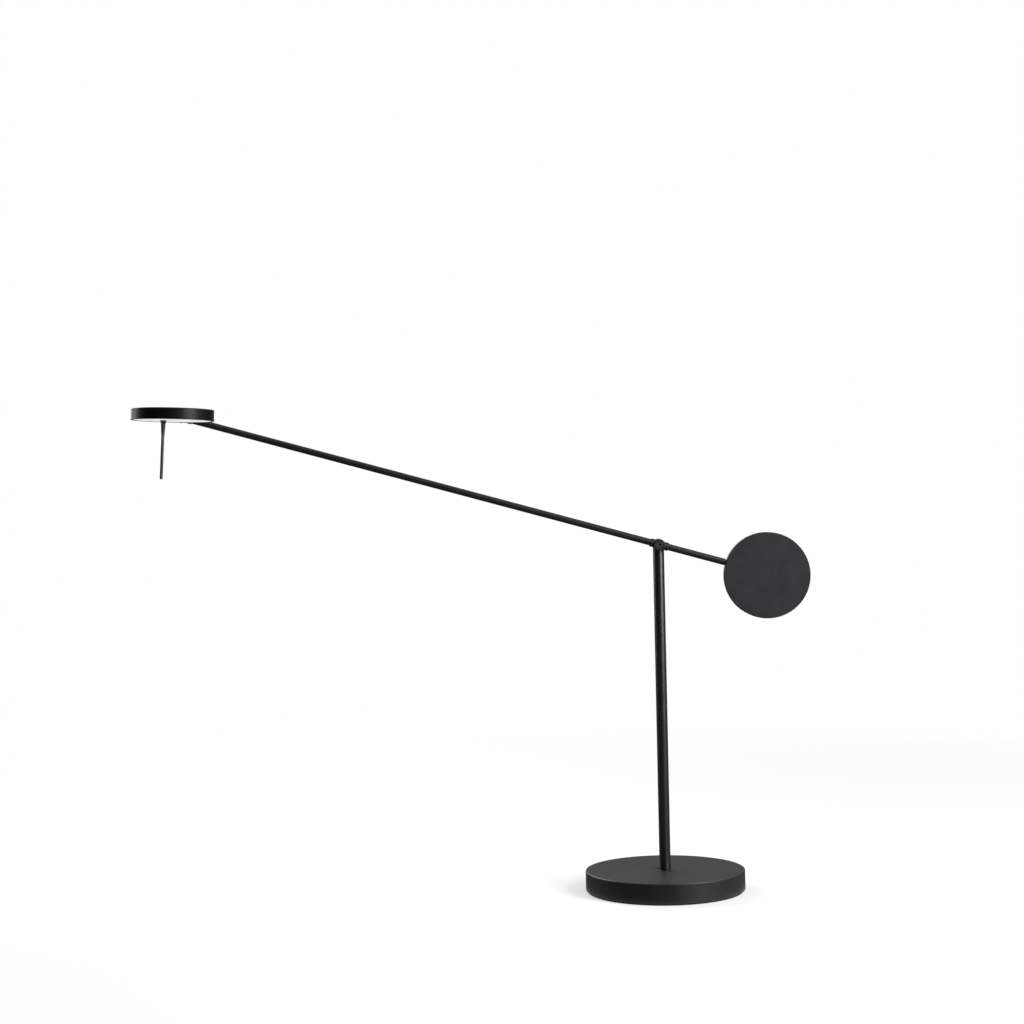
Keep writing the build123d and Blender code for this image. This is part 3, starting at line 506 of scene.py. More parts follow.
# ---------------------------------------------------------------- pieces
def seat(piece: bpy.types.Object, body: str, slot: str, *stands_for: str) -> bpy.types.Object:
    """Gives a finished piece its body, hides the frame's nodes that it replaces, and reports it.

    Args:
        piece: the piece, in place.
        body: the body that it rides on.
        slot: the record's material slot; not used.
        stands_for: the frame's nodes that it replaces.

    Returns:
        The piece.
    """
    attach(piece, body)
    if stands_for:
        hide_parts(*stands_for)
    log.info("%s: %d faces on %s, for %s", piece.name, len(piece.data.polygons), body,
             ", ".join(stands_for) or "nothing else")
    return piece


def object_of(name: str, mesh: bpy.types.Mesh) -> bpy.types.Object:
    """Puts a mesh into the scene.

    Args:
        name: the new object's name.
        mesh: its mesh.

    Returns:
        The object, at the origin.
    """
    mesh.name = name
    piece = bpy.data.objects.new(name, mesh)
    bpy.context.scene.collection.objects.link(piece)
    return piece


def plain_mesh(piece: bpy.types.Object) -> bpy.types.Mesh:
    """Turns what an object's modifiers make into its own plain mesh.

    Args:
        piece: the object, whose modifiers are removed.

    Returns:
        The object's new mesh.
    """
    bpy.context.view_layer.update()
    graph = bpy.context.evaluated_depsgraph_get()
    mesh = bpy.data.meshes.new_from_object(piece.evaluated_get(graph),
                                           preserve_all_data_layers=True, depsgraph=graph)
    piece.modifiers.clear()
    piece.data = mesh
    mesh.name = piece.name
    used = [material for material in mesh.materials if material]
    mesh.materials.clear()
    mesh.materials.append(used[0])
    mesh.polygons.foreach_set("material_index", [0] * len(mesh.polygons))
    return mesh


def soften(mesh: bpy.types.Mesh) -> None:
    """Shades a mesh smooth, apart from its real creases.

    Args:
        mesh: the mesh.
    """
    mesh.shade_smooth()
    mesh.set_sharp_from_angle(angle=CREASE)


def drill(piece: bpy.types.Object, cutters: Iterable[bpy.types.Object]) -> bpy.types.Object:
    """Cuts holes and seats into a piece.

    Args:
        piece: the piece that is cut.
        cutters: closed shapes to cut away, which are used up.

    Returns:
        The piece.
    """
    cutters = list(cutters)
    for cutter in cutters:
        cut = piece.modifiers.new("cut", "BOOLEAN")
        cut.operation = "DIFFERENCE"
        cut.solver = "EXACT"
        cut.object = cutter
    plain_mesh(piece)
    for cutter in cutters:
        mesh = cutter.data
        bpy.data.objects.remove(cutter)
        bpy.data.meshes.remove(mesh)
    soften(piece.data)
    return piece


def placed(origin: Vector, axis: Vector) -> Matrix:
    """Works out the matrix that stands a turned shape's Z axis along a line.

    Args:
        origin: where the shape's origin goes.
        axis: the line's direction.

    Returns:
        The matrix.
    """
    return Matrix.Translation(origin) @ axis.to_track_quat("Z", "Y").to_matrix().to_4x4()


def placed_along(origin: Vector, right: Vector, up: Vector) -> Matrix:
    """Works out the matrix that takes X to one direction and Z to another.

    Args:
        origin: where the origin goes.
        right: where X points.
        up: where Z points.

    Returns:
        The matrix.
    """
    turn = Matrix((right, up.cross(right), up)).transposed()
    return Matrix.Translation(origin) @ turn.to_4x4()


# ---------------------------------------------------------------- turned pieces
@dataclass(frozen=True)
class Corner:
    """A corner of a turned outline: its radius, its height and how it is rounded."""

    radius: float
    height: float
    rounding: float = 0.0


def rounded(corners: Sequence[Corner], closed: bool, steps: int = 6) -> list[tuple]:
    """Rounds an outline's corners, with a short straight on each side of each arc.

    Args:
        corners: the outline's corners, its outer side running upwards.
        closed: whether the last corner joins the first, as on a ring.
        steps: how many pieces an arc has.

    Returns:
        A radius, a height and an edge mask for each point.
    """
    points = []
    for index, corner in enumerate(corners):
        here = Vector((corner.radius, corner.height))
        end = not closed and index in (0, len(corners) - 1)
        if corner.rounding <= 0.0 or end:
            points.append((here.x, here.y, 0.0))
            continue
        before = corners[index - 1]
        after = corners[(index + 1) % len(corners)]
        back = (Vector((before.radius, before.height)) - here).normalized()
        on = (Vector((after.radius, after.height)) - here).normalized()
        half = back.angle(on) / 2
        reach = corner.rounding / math.tan(half)
        centre = here + (back + on).normalized() * (corner.rounding / math.sin(half))
        first = here + back * reach
        turn = (first - centre).angle_signed(here + on * reach - centre)
        spare = reach * BESIDE_ARC
        points.append((*(first + back * spare), 0.0))
        for step in range(steps + 1):
            spoke = first - centre
            spoke.rotate(Matrix.Rotation(-turn * step / steps, 2))
            mask = math.sin(math.pi * step / steps) ** 0.5 if 0 < step < steps else ARC_END_MASK
            points.append((*(centre + spoke), mask))
        points.append((*(here + on * (reach + spare)), 0.0))
    return points


def make_turning_tree() -> bpy.types.NodeTree:
    """Builds the geometry tree that spins an outline about the Z axis.

    The outline is a mesh of points in order, each at (radius, 0, height), with its edge mask.

    Returns:
        The tree, with Geometry, Segments and Material in, and Geometry out.
    """
    wiring = new_tree("turned_body", "GeometryNodeTree",
                      [("Geometry", "NodeSocketGeometry"), ("Segments", "NodeSocketInt", 96),
                       ("Material", "NodeSocketMaterial")], [("Geometry", "NodeSocketGeometry")])
    entry = wiring.add("NodeGroupInput")
    outline = entry.outputs["Geometry"]
    size = wiring.add("GeometryNodeAttributeDomainSize", {"Geometry": outline}, component="MESH")
    count = size.outputs["Point Count"]
    grid = wiring.add("GeometryNodeMeshGrid", {
        "Vertices X": wiring.math("ADD", entry.outputs["Segments"], 1.0), "Vertices Y": count,
    })
    index = wiring.add("GeometryNodeInputIndex").outputs["Index"]
    spoke = wiring.math("FLOOR", wiring.math("DIVIDE", index, count))
    along = wiring.math("SUBTRACT", index, wiring.math("MULTIPLY", spoke, count))
    angle = wiring.math("DIVIDE", wiring.math("MULTIPLY", spoke, math.tau),
                        entry.outputs["Segments"])

    point = wiring.add("GeometryNodeSampleIndex", {
        "Geometry": outline,
        "Value": wiring.add("GeometryNodeInputPosition").outputs["Position"], "Index": along,
    }, data_type="FLOAT_VECTOR", domain="POINT")
    turned = wiring.add("ShaderNodeVectorRotate", {
        "Vector": point.outputs["Value"], "Angle": angle,
    }, rotation_type="Z_AXIS")
    moved = wiring.add("GeometryNodeSetPosition", {
        "Geometry": grid.outputs["Mesh"], "Position": turned.outputs["Vector"],
    })

    named = wiring.add("GeometryNodeInputNamedAttribute", {"Name": EDGE_MASK}, data_type="FLOAT")
    mask = wiring.add("GeometryNodeSampleIndex", {
        "Geometry": outline, "Value": named.outputs["Attribute"], "Index": along,
    }, data_type="FLOAT", domain="POINT")
    kept = wiring.add("GeometryNodeStoreNamedAttribute", {
        "Geometry": moved.outputs["Geometry"], "Name": EDGE_MASK,
        "Value": mask.outputs["Value"],
    }, data_type="FLOAT", domain="POINT")

    closed = wiring.add("GeometryNodeMergeByDistance", {
        "Geometry": kept.outputs["Geometry"], "Distance": WELD,
    })
    finish_tree(wiring, closed.outputs["Geometry"], entry.outputs["Material"])
    return wiring.tree


def make_ring_tree() -> bpy.types.NodeTree:
    """Builds the geometry tree that sets copies of a shape out on a circle about the Z axis.

    Returns:
        The tree, with Geometry, Count, Radius, Start and Material in, and Geometry out.
    """
    wiring = new_tree("ring_of_copies", "GeometryNodeTree",
                      [("Geometry", "NodeSocketGeometry"), ("Count", "NodeSocketInt", 4),
                       ("Radius", FLOAT, 0.01), ("Start", FLOAT, 0.0),
                       ("Material", "NodeSocketMaterial")], [("Geometry", "NodeSocketGeometry")])
    entry = wiring.add("NodeGroupInput")
    index = wiring.add("GeometryNodeInputIndex").outputs["Index"]
    angle = wiring.math("MULTIPLY_ADD", index,
                        wiring.math("DIVIDE", math.tau, entry.outputs["Count"]),
                        entry.outputs["Start"])
    place = wiring.add("ShaderNodeCombineXYZ", {
        "X": wiring.math("MULTIPLY", wiring.math("COSINE", angle), entry.outputs["Radius"]),
        "Y": wiring.math("MULTIPLY", wiring.math("SINE", angle), entry.outputs["Radius"]),
    })
    points = wiring.add("GeometryNodePoints", {
        "Count": entry.outputs["Count"], "Position": place.outputs[0],
    })
    turn = wiring.add("ShaderNodeCombineXYZ", {"Z": angle})
    copies = wiring.add("GeometryNodeInstanceOnPoints", {
        "Points": points.outputs["Points"], "Instance": entry.outputs["Geometry"],
        "Rotation": turn.outputs[0],
    })
    finish_tree(wiring, copies.outputs["Instances"], entry.outputs["Material"])
    return wiring.tree


def finish_tree(wiring: Wiring, shape: bpy.types.NodeSocket,
                material: bpy.types.NodeSocket) -> None:
    """Ends a geometry tree in plain geometry with its material.

    Args:
        wiring: the tree.
        shape: the geometry's socket.
        material: the material's socket.
    """
    real = wiring.add("GeometryNodeRealizeInstances", {"Geometry": shape})
    dressed = wiring.add("GeometryNodeSetMaterial", {
        "Geometry": real.outputs["Geometry"], "Material": material,
    })
    wiring.add("NodeGroupOutput", {"Geometry": dressed.outputs["Geometry"]})


class ShapeTree(Enum):
    """The geometry trees that pieces are made with."""

    TURNED = "turned_body"
    RING = "ring_of_copies"

    def apply(self, piece: bpy.types.Object, finish: Finish, **inputs: float) -> bpy.types.Mesh:
        """Runs this tree on an object and keeps the result as its plain mesh.

        Args:
            piece: the object that holds the tree's input shape.
            finish: the finish that the tree sets.
            inputs: values by the tree's input names, with _ for a space.

        Returns:
            The object's new mesh.
        """
        makers = {ShapeTree.TURNED: make_turning_tree, ShapeTree.RING: make_ring_tree}
        tree = bpy.data.node_groups.get(self.value) or makers[self]()
        values = {name.replace("_", " "): value for name, value in inputs.items()}
        values["Material"] = finish.material()
        modifier = piece.modifiers.new(self.value, "NODES")
        modifier.node_group = tree
        for socket in tree.interface.items_tree:
            if socket.in_out == "INPUT" and socket.name in values:
                modifier[socket.identifier] = values[socket.name]
        return plain_mesh(piece)


@dataclass(frozen=True)
class Turning:
    """A turned piece: its outline, and the line that it is turned about."""

    name: str
    corners: tuple[Corner, ...]
    origin: Vector
    axis: Vector = field(default_factory=lambda: UP.copy())
    closed: bool = False
    segments: int = 96

    def make(self, slot: str) -> bpy.types.Object:
        """Spins the outline and puts the result in place.

        Args:
            slot: the finish's name.

        Returns:
            The piece.
        """
        points = rounded(self.corners, self.closed)
        if self.closed:
            points.append(points[0])
        mesh = bpy.data.meshes.new(self.name)
        mesh.from_pydata([(radius, 0.0, height) for radius, height, _ in points], [], [])
        mask = mesh.attributes.new(EDGE_MASK, "FLOAT", "POINT")
        mask.data.foreach_set("value", [edge for _, _, edge in points])
        piece = object_of(self.name, mesh)
        mesh = ShapeTree.TURNED.apply(piece, FINISHES[slot], Segments=self.segments)
        mesh.transform(placed(self.origin, self.axis))
        soften(mesh)
        return piece


def tool(radius: float, start: Vector, end: Vector, segments: int = 64) -> bpy.types.Object:
    """Makes a round cutter between two points.

    Args:
        radius: the cutter's radius.
        start: the middle of one end.
        end: the middle of the other end.
        segments: how many sides it has.

    Returns:
        The cutter.
    """
    corners = (Corner(0.0, 0.0), Corner(radius, 0.0), Corner(radius, (end - start).length),
               Corner(0.0, (end - start).length))
    return Turning("cutter", corners, start, end - start, segments=segments).make("black_plastic")


# ---------------------------------------------------------------- blended pieces
def rod_field(start: Vector, end: Vector, radius: float, edge: float = 0.0,
              chamfer: float = 0.0) -> Field:
    """Describes a round rod by its distance field.

    Args:
        start: the middle of one end.
        end: the middle of the other end.
        radius: the rod's radius.
        edge: the rounding of its end edges.
        chamfer: the size of the bevel at its ends.

    Returns:
        The field, which is negative inside.
    """
    origin = np.array((start + end) / 2)
    axis = np.array((end - start).normalized())
    half = (end - start).length / 2

    def distance(points: np.ndarray) -> np.ndarray:
        """Measures how far points are from the rod's surface.

        Args:
            points: the points.

        Returns:
            Each point's distance, negative inside.
        """
        offset = points - origin
        along = offset @ axis
        across = np.linalg.norm(offset - along[:, None] * axis, axis=1)
        side = across - radius
        cap = np.abs(along) - half
        if chamfer > 0.0:
            bevel = (side + cap + chamfer) / math.sqrt(2)
            return smooth_max(smooth_max(side, cap, edge), bevel, edge)
        side, cap = side + edge, cap + edge
        outside = np.hypot(np.maximum(side, 0.0), np.maximum(cap, 0.0))
        return np.minimum(np.maximum(side, cap), 0.0) + outside - edge

    return distance


def hexagon_field(start: Vector, end: Vector, across_flats: float, edge: float = 0.0) -> Field:
    """Describes a six-sided bar by its distance field, with two of its corners along X.

    Args:
        start: the middle of one end.
        end: the middle of the other end.
        across_flats: its width over the flats.
        edge: the rounding of its edges.

    Returns:
        The field, which is negative inside.
    """
    origin = np.array((start + end) / 2)
    axis = (end - start).normalized()
    half = (end - start).length / 2
    corner = Vector((1.0, 0.0, 0.0))
    flats = [np.array(Matrix.Rotation(math.radians(30 + 60 * side), 3, axis) @ corner)
             for side in range(6)]

    def distance(points: np.ndarray) -> np.ndarray:
        """Measures how far points are from the bar's surface.

        Args:
            points: the points.

        Returns:
            Each point's distance, negative inside.
        """
        offset = points - origin
        side = np.max([offset @ flat for flat in flats], axis=0) - across_flats / 2
        return smooth_max(side, np.abs(offset @ np.array(axis)) - half, edge)

    return distance


def ball_field(centre: Vector, radius: float) -> Field:
    """Describes a ball by its distance field.

    Args:
        centre: the ball's centre.
        radius: its radius.

    Returns:
        The field, which is negative inside.
    """
    return lambda points: np.linalg.norm(points - np.array(centre), axis=1) - radius


def smooth_max(one: np.ndarray, other: np.ndarray, blend: float) -> np.ndarray:
    """Takes the larger of two distances, with the crease between them rounded.

    Args:
        one: the first distances.
        other: the second distances.
        blend: how wide the rounding is.

    Returns:
        The blended distances.
    """
    if blend <= 0.0:
        return np.maximum(one, other)
    near = np.maximum(blend - np.abs(one - other), 0.0) / blend
    return np.maximum(one, other) + near * near * blend / 4


def joined(fields: Sequence[Field], blend: float) -> Field:
    """Joins shapes, with a fillet where they meet.

    Args:
        fields: the shapes' fields.
        blend: how wide the fillet is.

    Returns:
        The joined shape's field.
    """
    def distance(points: np.ndarray) -> np.ndarray:
        """Measures how far points are from the joined surface.

        Args:
            points: the points.

        Returns:
            Each point's distance, negative inside.
        """
        found = fields[0](points)
        for other in fields[1:]:
            found = -smooth_max(-found, -other(points), blend)
        return found

    return distance


def without(shape: Field, cuts: Sequence[Field], edge: float) -> Field:
    """Cuts shapes out of another, with the new edges rounded.

    Args:
        shape: the field that is cut.
        cuts: the fields of what is cut away.
        edge: how wide the edges' rounding is.

    Returns:
        The cut shape's field.
    """
    def distance(points: np.ndarray) -> np.ndarray:
        """Measures how far points are from the cut surface.

        Args:
            points: the points.

        Returns:
            Each point's distance, negative inside.
        """
        found = shape(points)
        for cut in cuts:
            found = smooth_max(found, -cut(points), edge)
        return found

    return distance


def slope(shape: Field, points: np.ndarray, step: float) -> np.ndarray:
    """Measures a field's slope.

    Args:
        shape: the field.
        points: where it is measured.
        step: the distance between its readings.

    Returns:
        The slope at each point.
    """
    found = np.empty_like(points)
    for axis in range(3):
        shift = np.zeros(3)
        shift[axis] = step
        found[:, axis] = (shape(points + shift) - shape(points - shift)) / (2 * step)
    return found


@dataclass(frozen=True)
class Blended:
    """A piece that a distance field describes, skinned with quads."""

    name: str
    shape: Field
    low: Vector
    high: Vector
    cell: float = 0.25 * MM
    pulls: int = 5                  # how often each point is pulled onto the surface
    pull_step: float = 0.05         # share of a cell that its slope is read over
    least_slope: float = 0.05       # square of the slope under which a pull is held back
    bend_step: float = 0.12 * MM    # how far round a point its surface's bend is read
    bend_range: tuple[float, float] = (0.9, 2.5)    # bends that the edge mask runs over, per mm

    def make(self, slot: str) -> bpy.types.Object:
        """Skins the field.

        Args:
            slot: the finish's name.

        Returns:
            The piece, in place.
        """
        points, faces = self.net()
        for _ in range(self.pulls):
            pull = slope(self.shape, points, self.cell * self.pull_step)
            length = np.maximum((pull * pull).sum(axis=1), self.least_slope)
            points = points - pull * (self.shape(points) / length)[:, None]
        mesh = bpy.data.meshes.new(self.name)
        mesh.from_pydata(points.tolist(), [], faces.tolist())
        mesh.materials.append(FINISHES[slot].material())
        mask = mesh.attributes.new(EDGE_MASK, "FLOAT", "POINT")
        mask.data.foreach_set("value", self.edges(points).astype(np.float32))
        mesh.shade_smooth()
        return object_of(self.name, mesh)

    def edges(self, points: np.ndarray) -> np.ndarray:
        """Finds the rounded outer edges by how strongly the surface bends.

        Args:
            points: points on the surface.

        Returns:
            The edge mask of each point.
        """
        bend = -6.0 * self.shape(points)
        for axis in range(3):
            for side in (-self.bend_step, self.bend_step):
                shift = np.zeros(3)
                shift[axis] = side
                bend = bend + self.shape(points + shift)
        low, high = self.bend_range
        return np.clip((bend / self.bend_step**2 * MM - low) / (high - low), 0.0, 1.0)

    def net(self) -> tuple[np.ndarray, np.ndarray]:
        """Lays a net of quads over the field's surface, one point in each cell that it crosses.

        Returns:
            The points and the faces' point numbers.
        """
        low, high = np.array(self.low) - 2 * self.cell, np.array(self.high) + 2 * self.cell
        counts = np.ceil((high - low) / self.cell).astype(int) + 1
        axes = [low[axis] + self.cell * np.arange(counts[axis]) for axis in range(3)]
        grid = np.stack(np.meshgrid(*axes, indexing="ij"), axis=-1)
        values = self.shape(grid.reshape(-1, 3)).reshape(counts)
        inside = values < 0.0
        total = np.zeros((*(counts - 1), 3))
        crossings = np.zeros(counts - 1)
        for axis in range(3):
            ahead, behind = [slice(None)] * 3, [slice(None)] * 3
            ahead[axis], behind[axis] = slice(1, None), slice(None, -1)
            near, far = values[tuple(behind)], values[tuple(ahead)]
            crossed = (near < 0.0) != (far < 0.0)
            share = np.where(crossed, near / np.where(crossed, near - far, 1.0), 0.0)
            place = grid[tuple(behind)].copy()
            place[..., axis] += share * self.cell
            others = [other for other in range(3) if other != axis]
            for first in (0, 1):
                for second in (0, 1):
                    window = [slice(None)] * 3
                    for other, shift in zip(others, (first, second)):
                        window[other] = slice(shift, counts[other] - 1 + shift)
                    total += np.where(crossed[..., None], place, 0.0)[tuple(window)]
                    crossings += crossed[tuple(window)]
        used = crossings > 0
        number = np.full(used.shape, -1)
        number[used] = np.arange(used.sum())
        points = total[used] / crossings[used][:, None]
        return points, self.faces(inside, number)

    def faces(self, inside: np.ndarray, number: np.ndarray) -> np.ndarray:
        """Joins the four cells round each crossed grid edge into a face that points outwards.

        Args:
            inside: whether each grid point is inside.
            number: each cell's point number.

        Returns:
            The faces' point numbers.
        """
        faces = []
        for axis in range(3):
            second, third = (axis + 1) % 3, (axis + 2) % 3
            core = [slice(1, -1)] * 3
            core[axis] = slice(None, -1)
            beyond = list(core)
            beyond[axis] = slice(1, None)
            here, there = inside[tuple(core)], inside[tuple(beyond)]
            corner = np.argwhere(here != there)
            leaves = here[here != there]
            corner[:, second] += 1
            corner[:, third] += 1
            around = []
            for shift_second, shift_third in ((1, 1), (0, 1), (0, 0), (1, 0)):
                cell = corner.copy()
                cell[:, second] -= shift_second
                cell[:, third] -= shift_third
                around.append(number[tuple(cell.T)])
            quads = np.stack(around, axis=1)
            quads[~leaves] = quads[~leaves][:, ::-1]
            faces.append(quads)
        return np.concatenate(faces)


# ---------------------------------------------------------------- places from the frame
def joint_point(name: str) -> Vector:
    """Finds the point that a joint turns about.

    Args:
        name: the joint's name.

    Returns:
        The point, at rest.
    """
    return Vector(next(joint["pos_m"] for joint in frame["joints"] if joint["name"] == name))


def middle(node: str) -> Vector:
    """Finds the middle of a frame node's box.

    Args:
        node: the node's name.

    Returns:
        The middle.
    """
    low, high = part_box(node)
    return (low + high) / 2


PIVOT = joint_point("arm_tilt")
KNUCKLE = joint_point("head_tilt")
ALONG_ARM = (KNUCKLE - PIVOT).normalized()
SLEEVE_EDGE = 0.25 * MM         # the rounding beside its bevel
SLEEVE_BEVEL = 0.95 * MM        # the bevel at a sleeve's ends
BOSS_EDGE = 0.45 * MM
HUB_FILLET = 0.7 * MM           # where the boss meets the sleeve
HUB_HOLE_EDGE = 0.2 * MM


def crossing(name: str, node: str, centre: Vector, sleeve: tuple[float, float],
             sleeve_radius: float, boss_radius: float, cuts: Sequence[Field]) -> Blended:
    """Describes a hub: a sleeve along the arm, crossed by a boss.

    Args:
        name: the piece's name.
        node: the frame's node that gives its front and back.
        centre: where the two lines cross.
        sleeve: the sleeve's ends, from the centre towards the head.
        sleeve_radius: the sleeve's radius.
        boss_radius: the boss's radius.
        cuts: what is cut out of it.

    Returns:
        The piece's description.
    """
    low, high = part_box(node)
    front = Vector((centre.x, low.y + INSIDE, centre.z))
    back = Vector((centre.x, high.y - INSIDE, centre.z))
    ends = [centre + ALONG_ARM * station for station in sleeve]
    parts = [rod_field(*ends, sleeve_radius, edge=SLEEVE_EDGE, chamfer=SLEEVE_BEVEL),
             rod_field(front, back, boss_radius, edge=BOSS_EDGE)]
    shape = without(joined(parts, HUB_FILLET), cuts, HUB_HOLE_EDGE)
    return Blended(name, shape, low, high)


# ---------------------------------------------------------------- base
@dataclass
class LampBase:
    """The round base: a spun shell on a rubber foot, with its screws and its cord gland."""

    radius: float
    bottom: float
    top: float
    foot_radius: float
    opening: float
    gland: Vector
    wall: float = 2.0 * MM
    top_rounding: float = 1.3 * MM
    hem_rounding: float = 0.45 * MM
    opening_rounding: float = 0.25 * MM
    groove_count: int = 9
    groove_pitch: float = 4.0 * MM
    groove_depth: float = 0.45 * MM
    groove_width: float = 1.4 * MM
    groove_start: float = 46.0 * MM
    screw_count: int = 4
    screw_circle: float = 65.0 * MM
    screw_start: float = math.radians(45.0)
    screw_hole: float = 4.4 * MM
    screw_head: float = 3.6 * MM
    screw_shank: float = 2.0 * MM
    screw_socket_across: float = 2.1 * MM
    screw_socket_depth: float = 1.1 * MM
    gland_flange: float = 7.5 * MM
    gland_flange_depth: float = 2.0 * MM
    gland_body: float = 5.0 * MM
    gland_bore: float = 3.1 * MM
    gland_mouth: tuple[float, float] = (4.6 * MM, 4.0 * MM)     # its bell mouth's two radii
    gland_mouth_depth: float = 0.6 * MM

    @classmethod
    def from_frame(cls) -> "LampBase":
        """Reads the base's sizes from the frame.

        Returns:
            The base, ready to build.
        """
        low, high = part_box("base_cover")
        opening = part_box("column_spindle")[1].x + 0.5 * MM
        return cls(radius=high.x, bottom=low.z, top=high.z, foot_radius=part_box("foot_pad")[1].x,
                   opening=opening, gland=middle("cord_gland"))

    def shell(self) -> Turning:
        """Describes the spun shell, whose ceiling has the swivel's opening.

        Returns:
            The shell's description.
        """
        inner, ceiling = self.radius - self.wall, self.top - self.wall
        corners = (
            Corner(inner, self.bottom, 0.2 * MM),
            Corner(self.radius, self.bottom, self.hem_rounding),
            Corner(self.radius, self.top, self.top_rounding),
            Corner(self.opening, self.top, self.opening_rounding),
            Corner(self.opening, ceiling),
            Corner(inner, ceiling, 1.0 * MM),
        )
        return Turning("base_shell", corners, Vector(), closed=True, segments=256)

    def build_shell(self) -> None:
        """Makes the shell, with the gland's seat milled at the back."""
        shell = self.shell().make("black_powder_coat")
        seat_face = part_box("cord_gland")[1].y - self.gland_flange_depth
        centre = Vector((0.0, 0.0, self.gland.z))
        back = -FRONT
        drill(shell, [
            tool(self.gland_flange + 0.2 * MM, centre + back * seat_face,
                 centre + back * (self.radius + 5 * MM)),
            tool(self.gland_body, centre + back * (self.radius - 3 * self.wall),
                 centre + back * (self.radius + 4 * MM)),
        ])
        seat(shell, "base", "black_powder_coat", "base_cover")

    def build_foot(self) -> None:
        """Makes the rubber foot, with ring grooves underneath and a hole over each screw."""
        corners = [Corner(0.0, INSIDE)]
        for ring in range(self.groove_count):
            start = self.groove_start + ring * self.groove_pitch
            end = start + self.groove_width
            slant = self.groove_depth * 0.5
            corners += [Corner(start, INSIDE, 0.1 * MM),
                        Corner(start + slant, self.groove_depth, 0.1 * MM),
                        Corner(end - slant, self.groove_depth, 0.1 * MM),
                        Corner(end, INSIDE, 0.1 * MM)]
        corners += [Corner(self.foot_radius, INSIDE, 0.5 * MM),
                    Corner(self.foot_radius, self.bottom), Corner(0.0, self.bottom)]
        foot = Turning("foot_ring", tuple(corners), Vector(), segments=192).make("foot_rubber")
        holes = []
        for index in range(self.screw_count):
            angle = self.screw_start + math.tau / self.screw_count * index
            place = Vector((math.cos(angle), math.sin(angle), 0.0)) * self.screw_circle
            holes.append(tool(self.screw_hole, place - UP * MM, place + UP * (self.bottom + MM)))
        drill(foot, holes)
        seat(foot, "base", "foot_rubber", "foot_pad")

    def build_screws(self) -> None:
        """Makes one pan-head screw with a hexagon socket, and sets its copies out on a ring."""
        low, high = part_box("base_screws")
        head = rod_field(UP * low.z, UP * self.bottom, self.screw_head, edge=0.5 * MM)
        shank = rod_field(UP * (self.bottom - 0.5 * MM), UP * high.z, self.screw_shank,
                          edge=0.2 * MM)
        socket = hexagon_field(UP * (low.z - MM), UP * (low.z + self.screw_socket_depth),
                               self.screw_socket_across)
        shape = without(joined([head, shank], 0.3 * MM), [socket], 0.1 * MM)
        reach = Vector((self.screw_head, self.screw_head, 0.0))
        screw = Blended("base_machine_screws", shape, UP * low.z - reach, UP * high.z + reach,
                        cell=0.22 * MM)
        piece = screw.make("blackened_steel")
        ShapeTree.RING.apply(piece, FINISHES["blackened_steel"], Count=self.screw_count,
                             Radius=self.screw_circle, Start=self.screw_start)
        seat(piece, "base", "blackened_steel", "base_screws")

    def build_gland(self) -> None:
        """Makes the cord gland: a flanged bush with a bell-mouthed bore."""
        low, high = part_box("cord_gland")
        length = high.y - low.y
        flange, mouth = length - self.gland_flange_depth, length - self.gland_mouth_depth
        wide, narrow = self.gland_mouth
        corners = (
            Corner(self.gland_bore, 0.0, 0.2 * MM), Corner(self.gland_body, 0.0, 0.2 * MM),
            Corner(self.gland_body, flange), Corner(self.gland_flange, flange, 0.1 * MM),
            Corner(self.gland_flange, length, 0.8 * MM), Corner(wide, length, 0.3 * MM),
            Corner(narrow, mouth, 0.3 * MM), Corner(self.gland_bore, mouth, 0.5 * MM),
        )
        origin = Vector((0.0, low.y, self.gland.z))
        gland = Turning("cord_bush", corners, origin, -FRONT, closed=True, segments=72)
        seat(gland.make("black_plastic"), "base", "black_plastic", "cord_gland")

    def build(self) -> None:
        """Makes every piece of the base."""
        self.build_shell()
        self.build_foot()
        self.build_screws()
        self.build_gland()


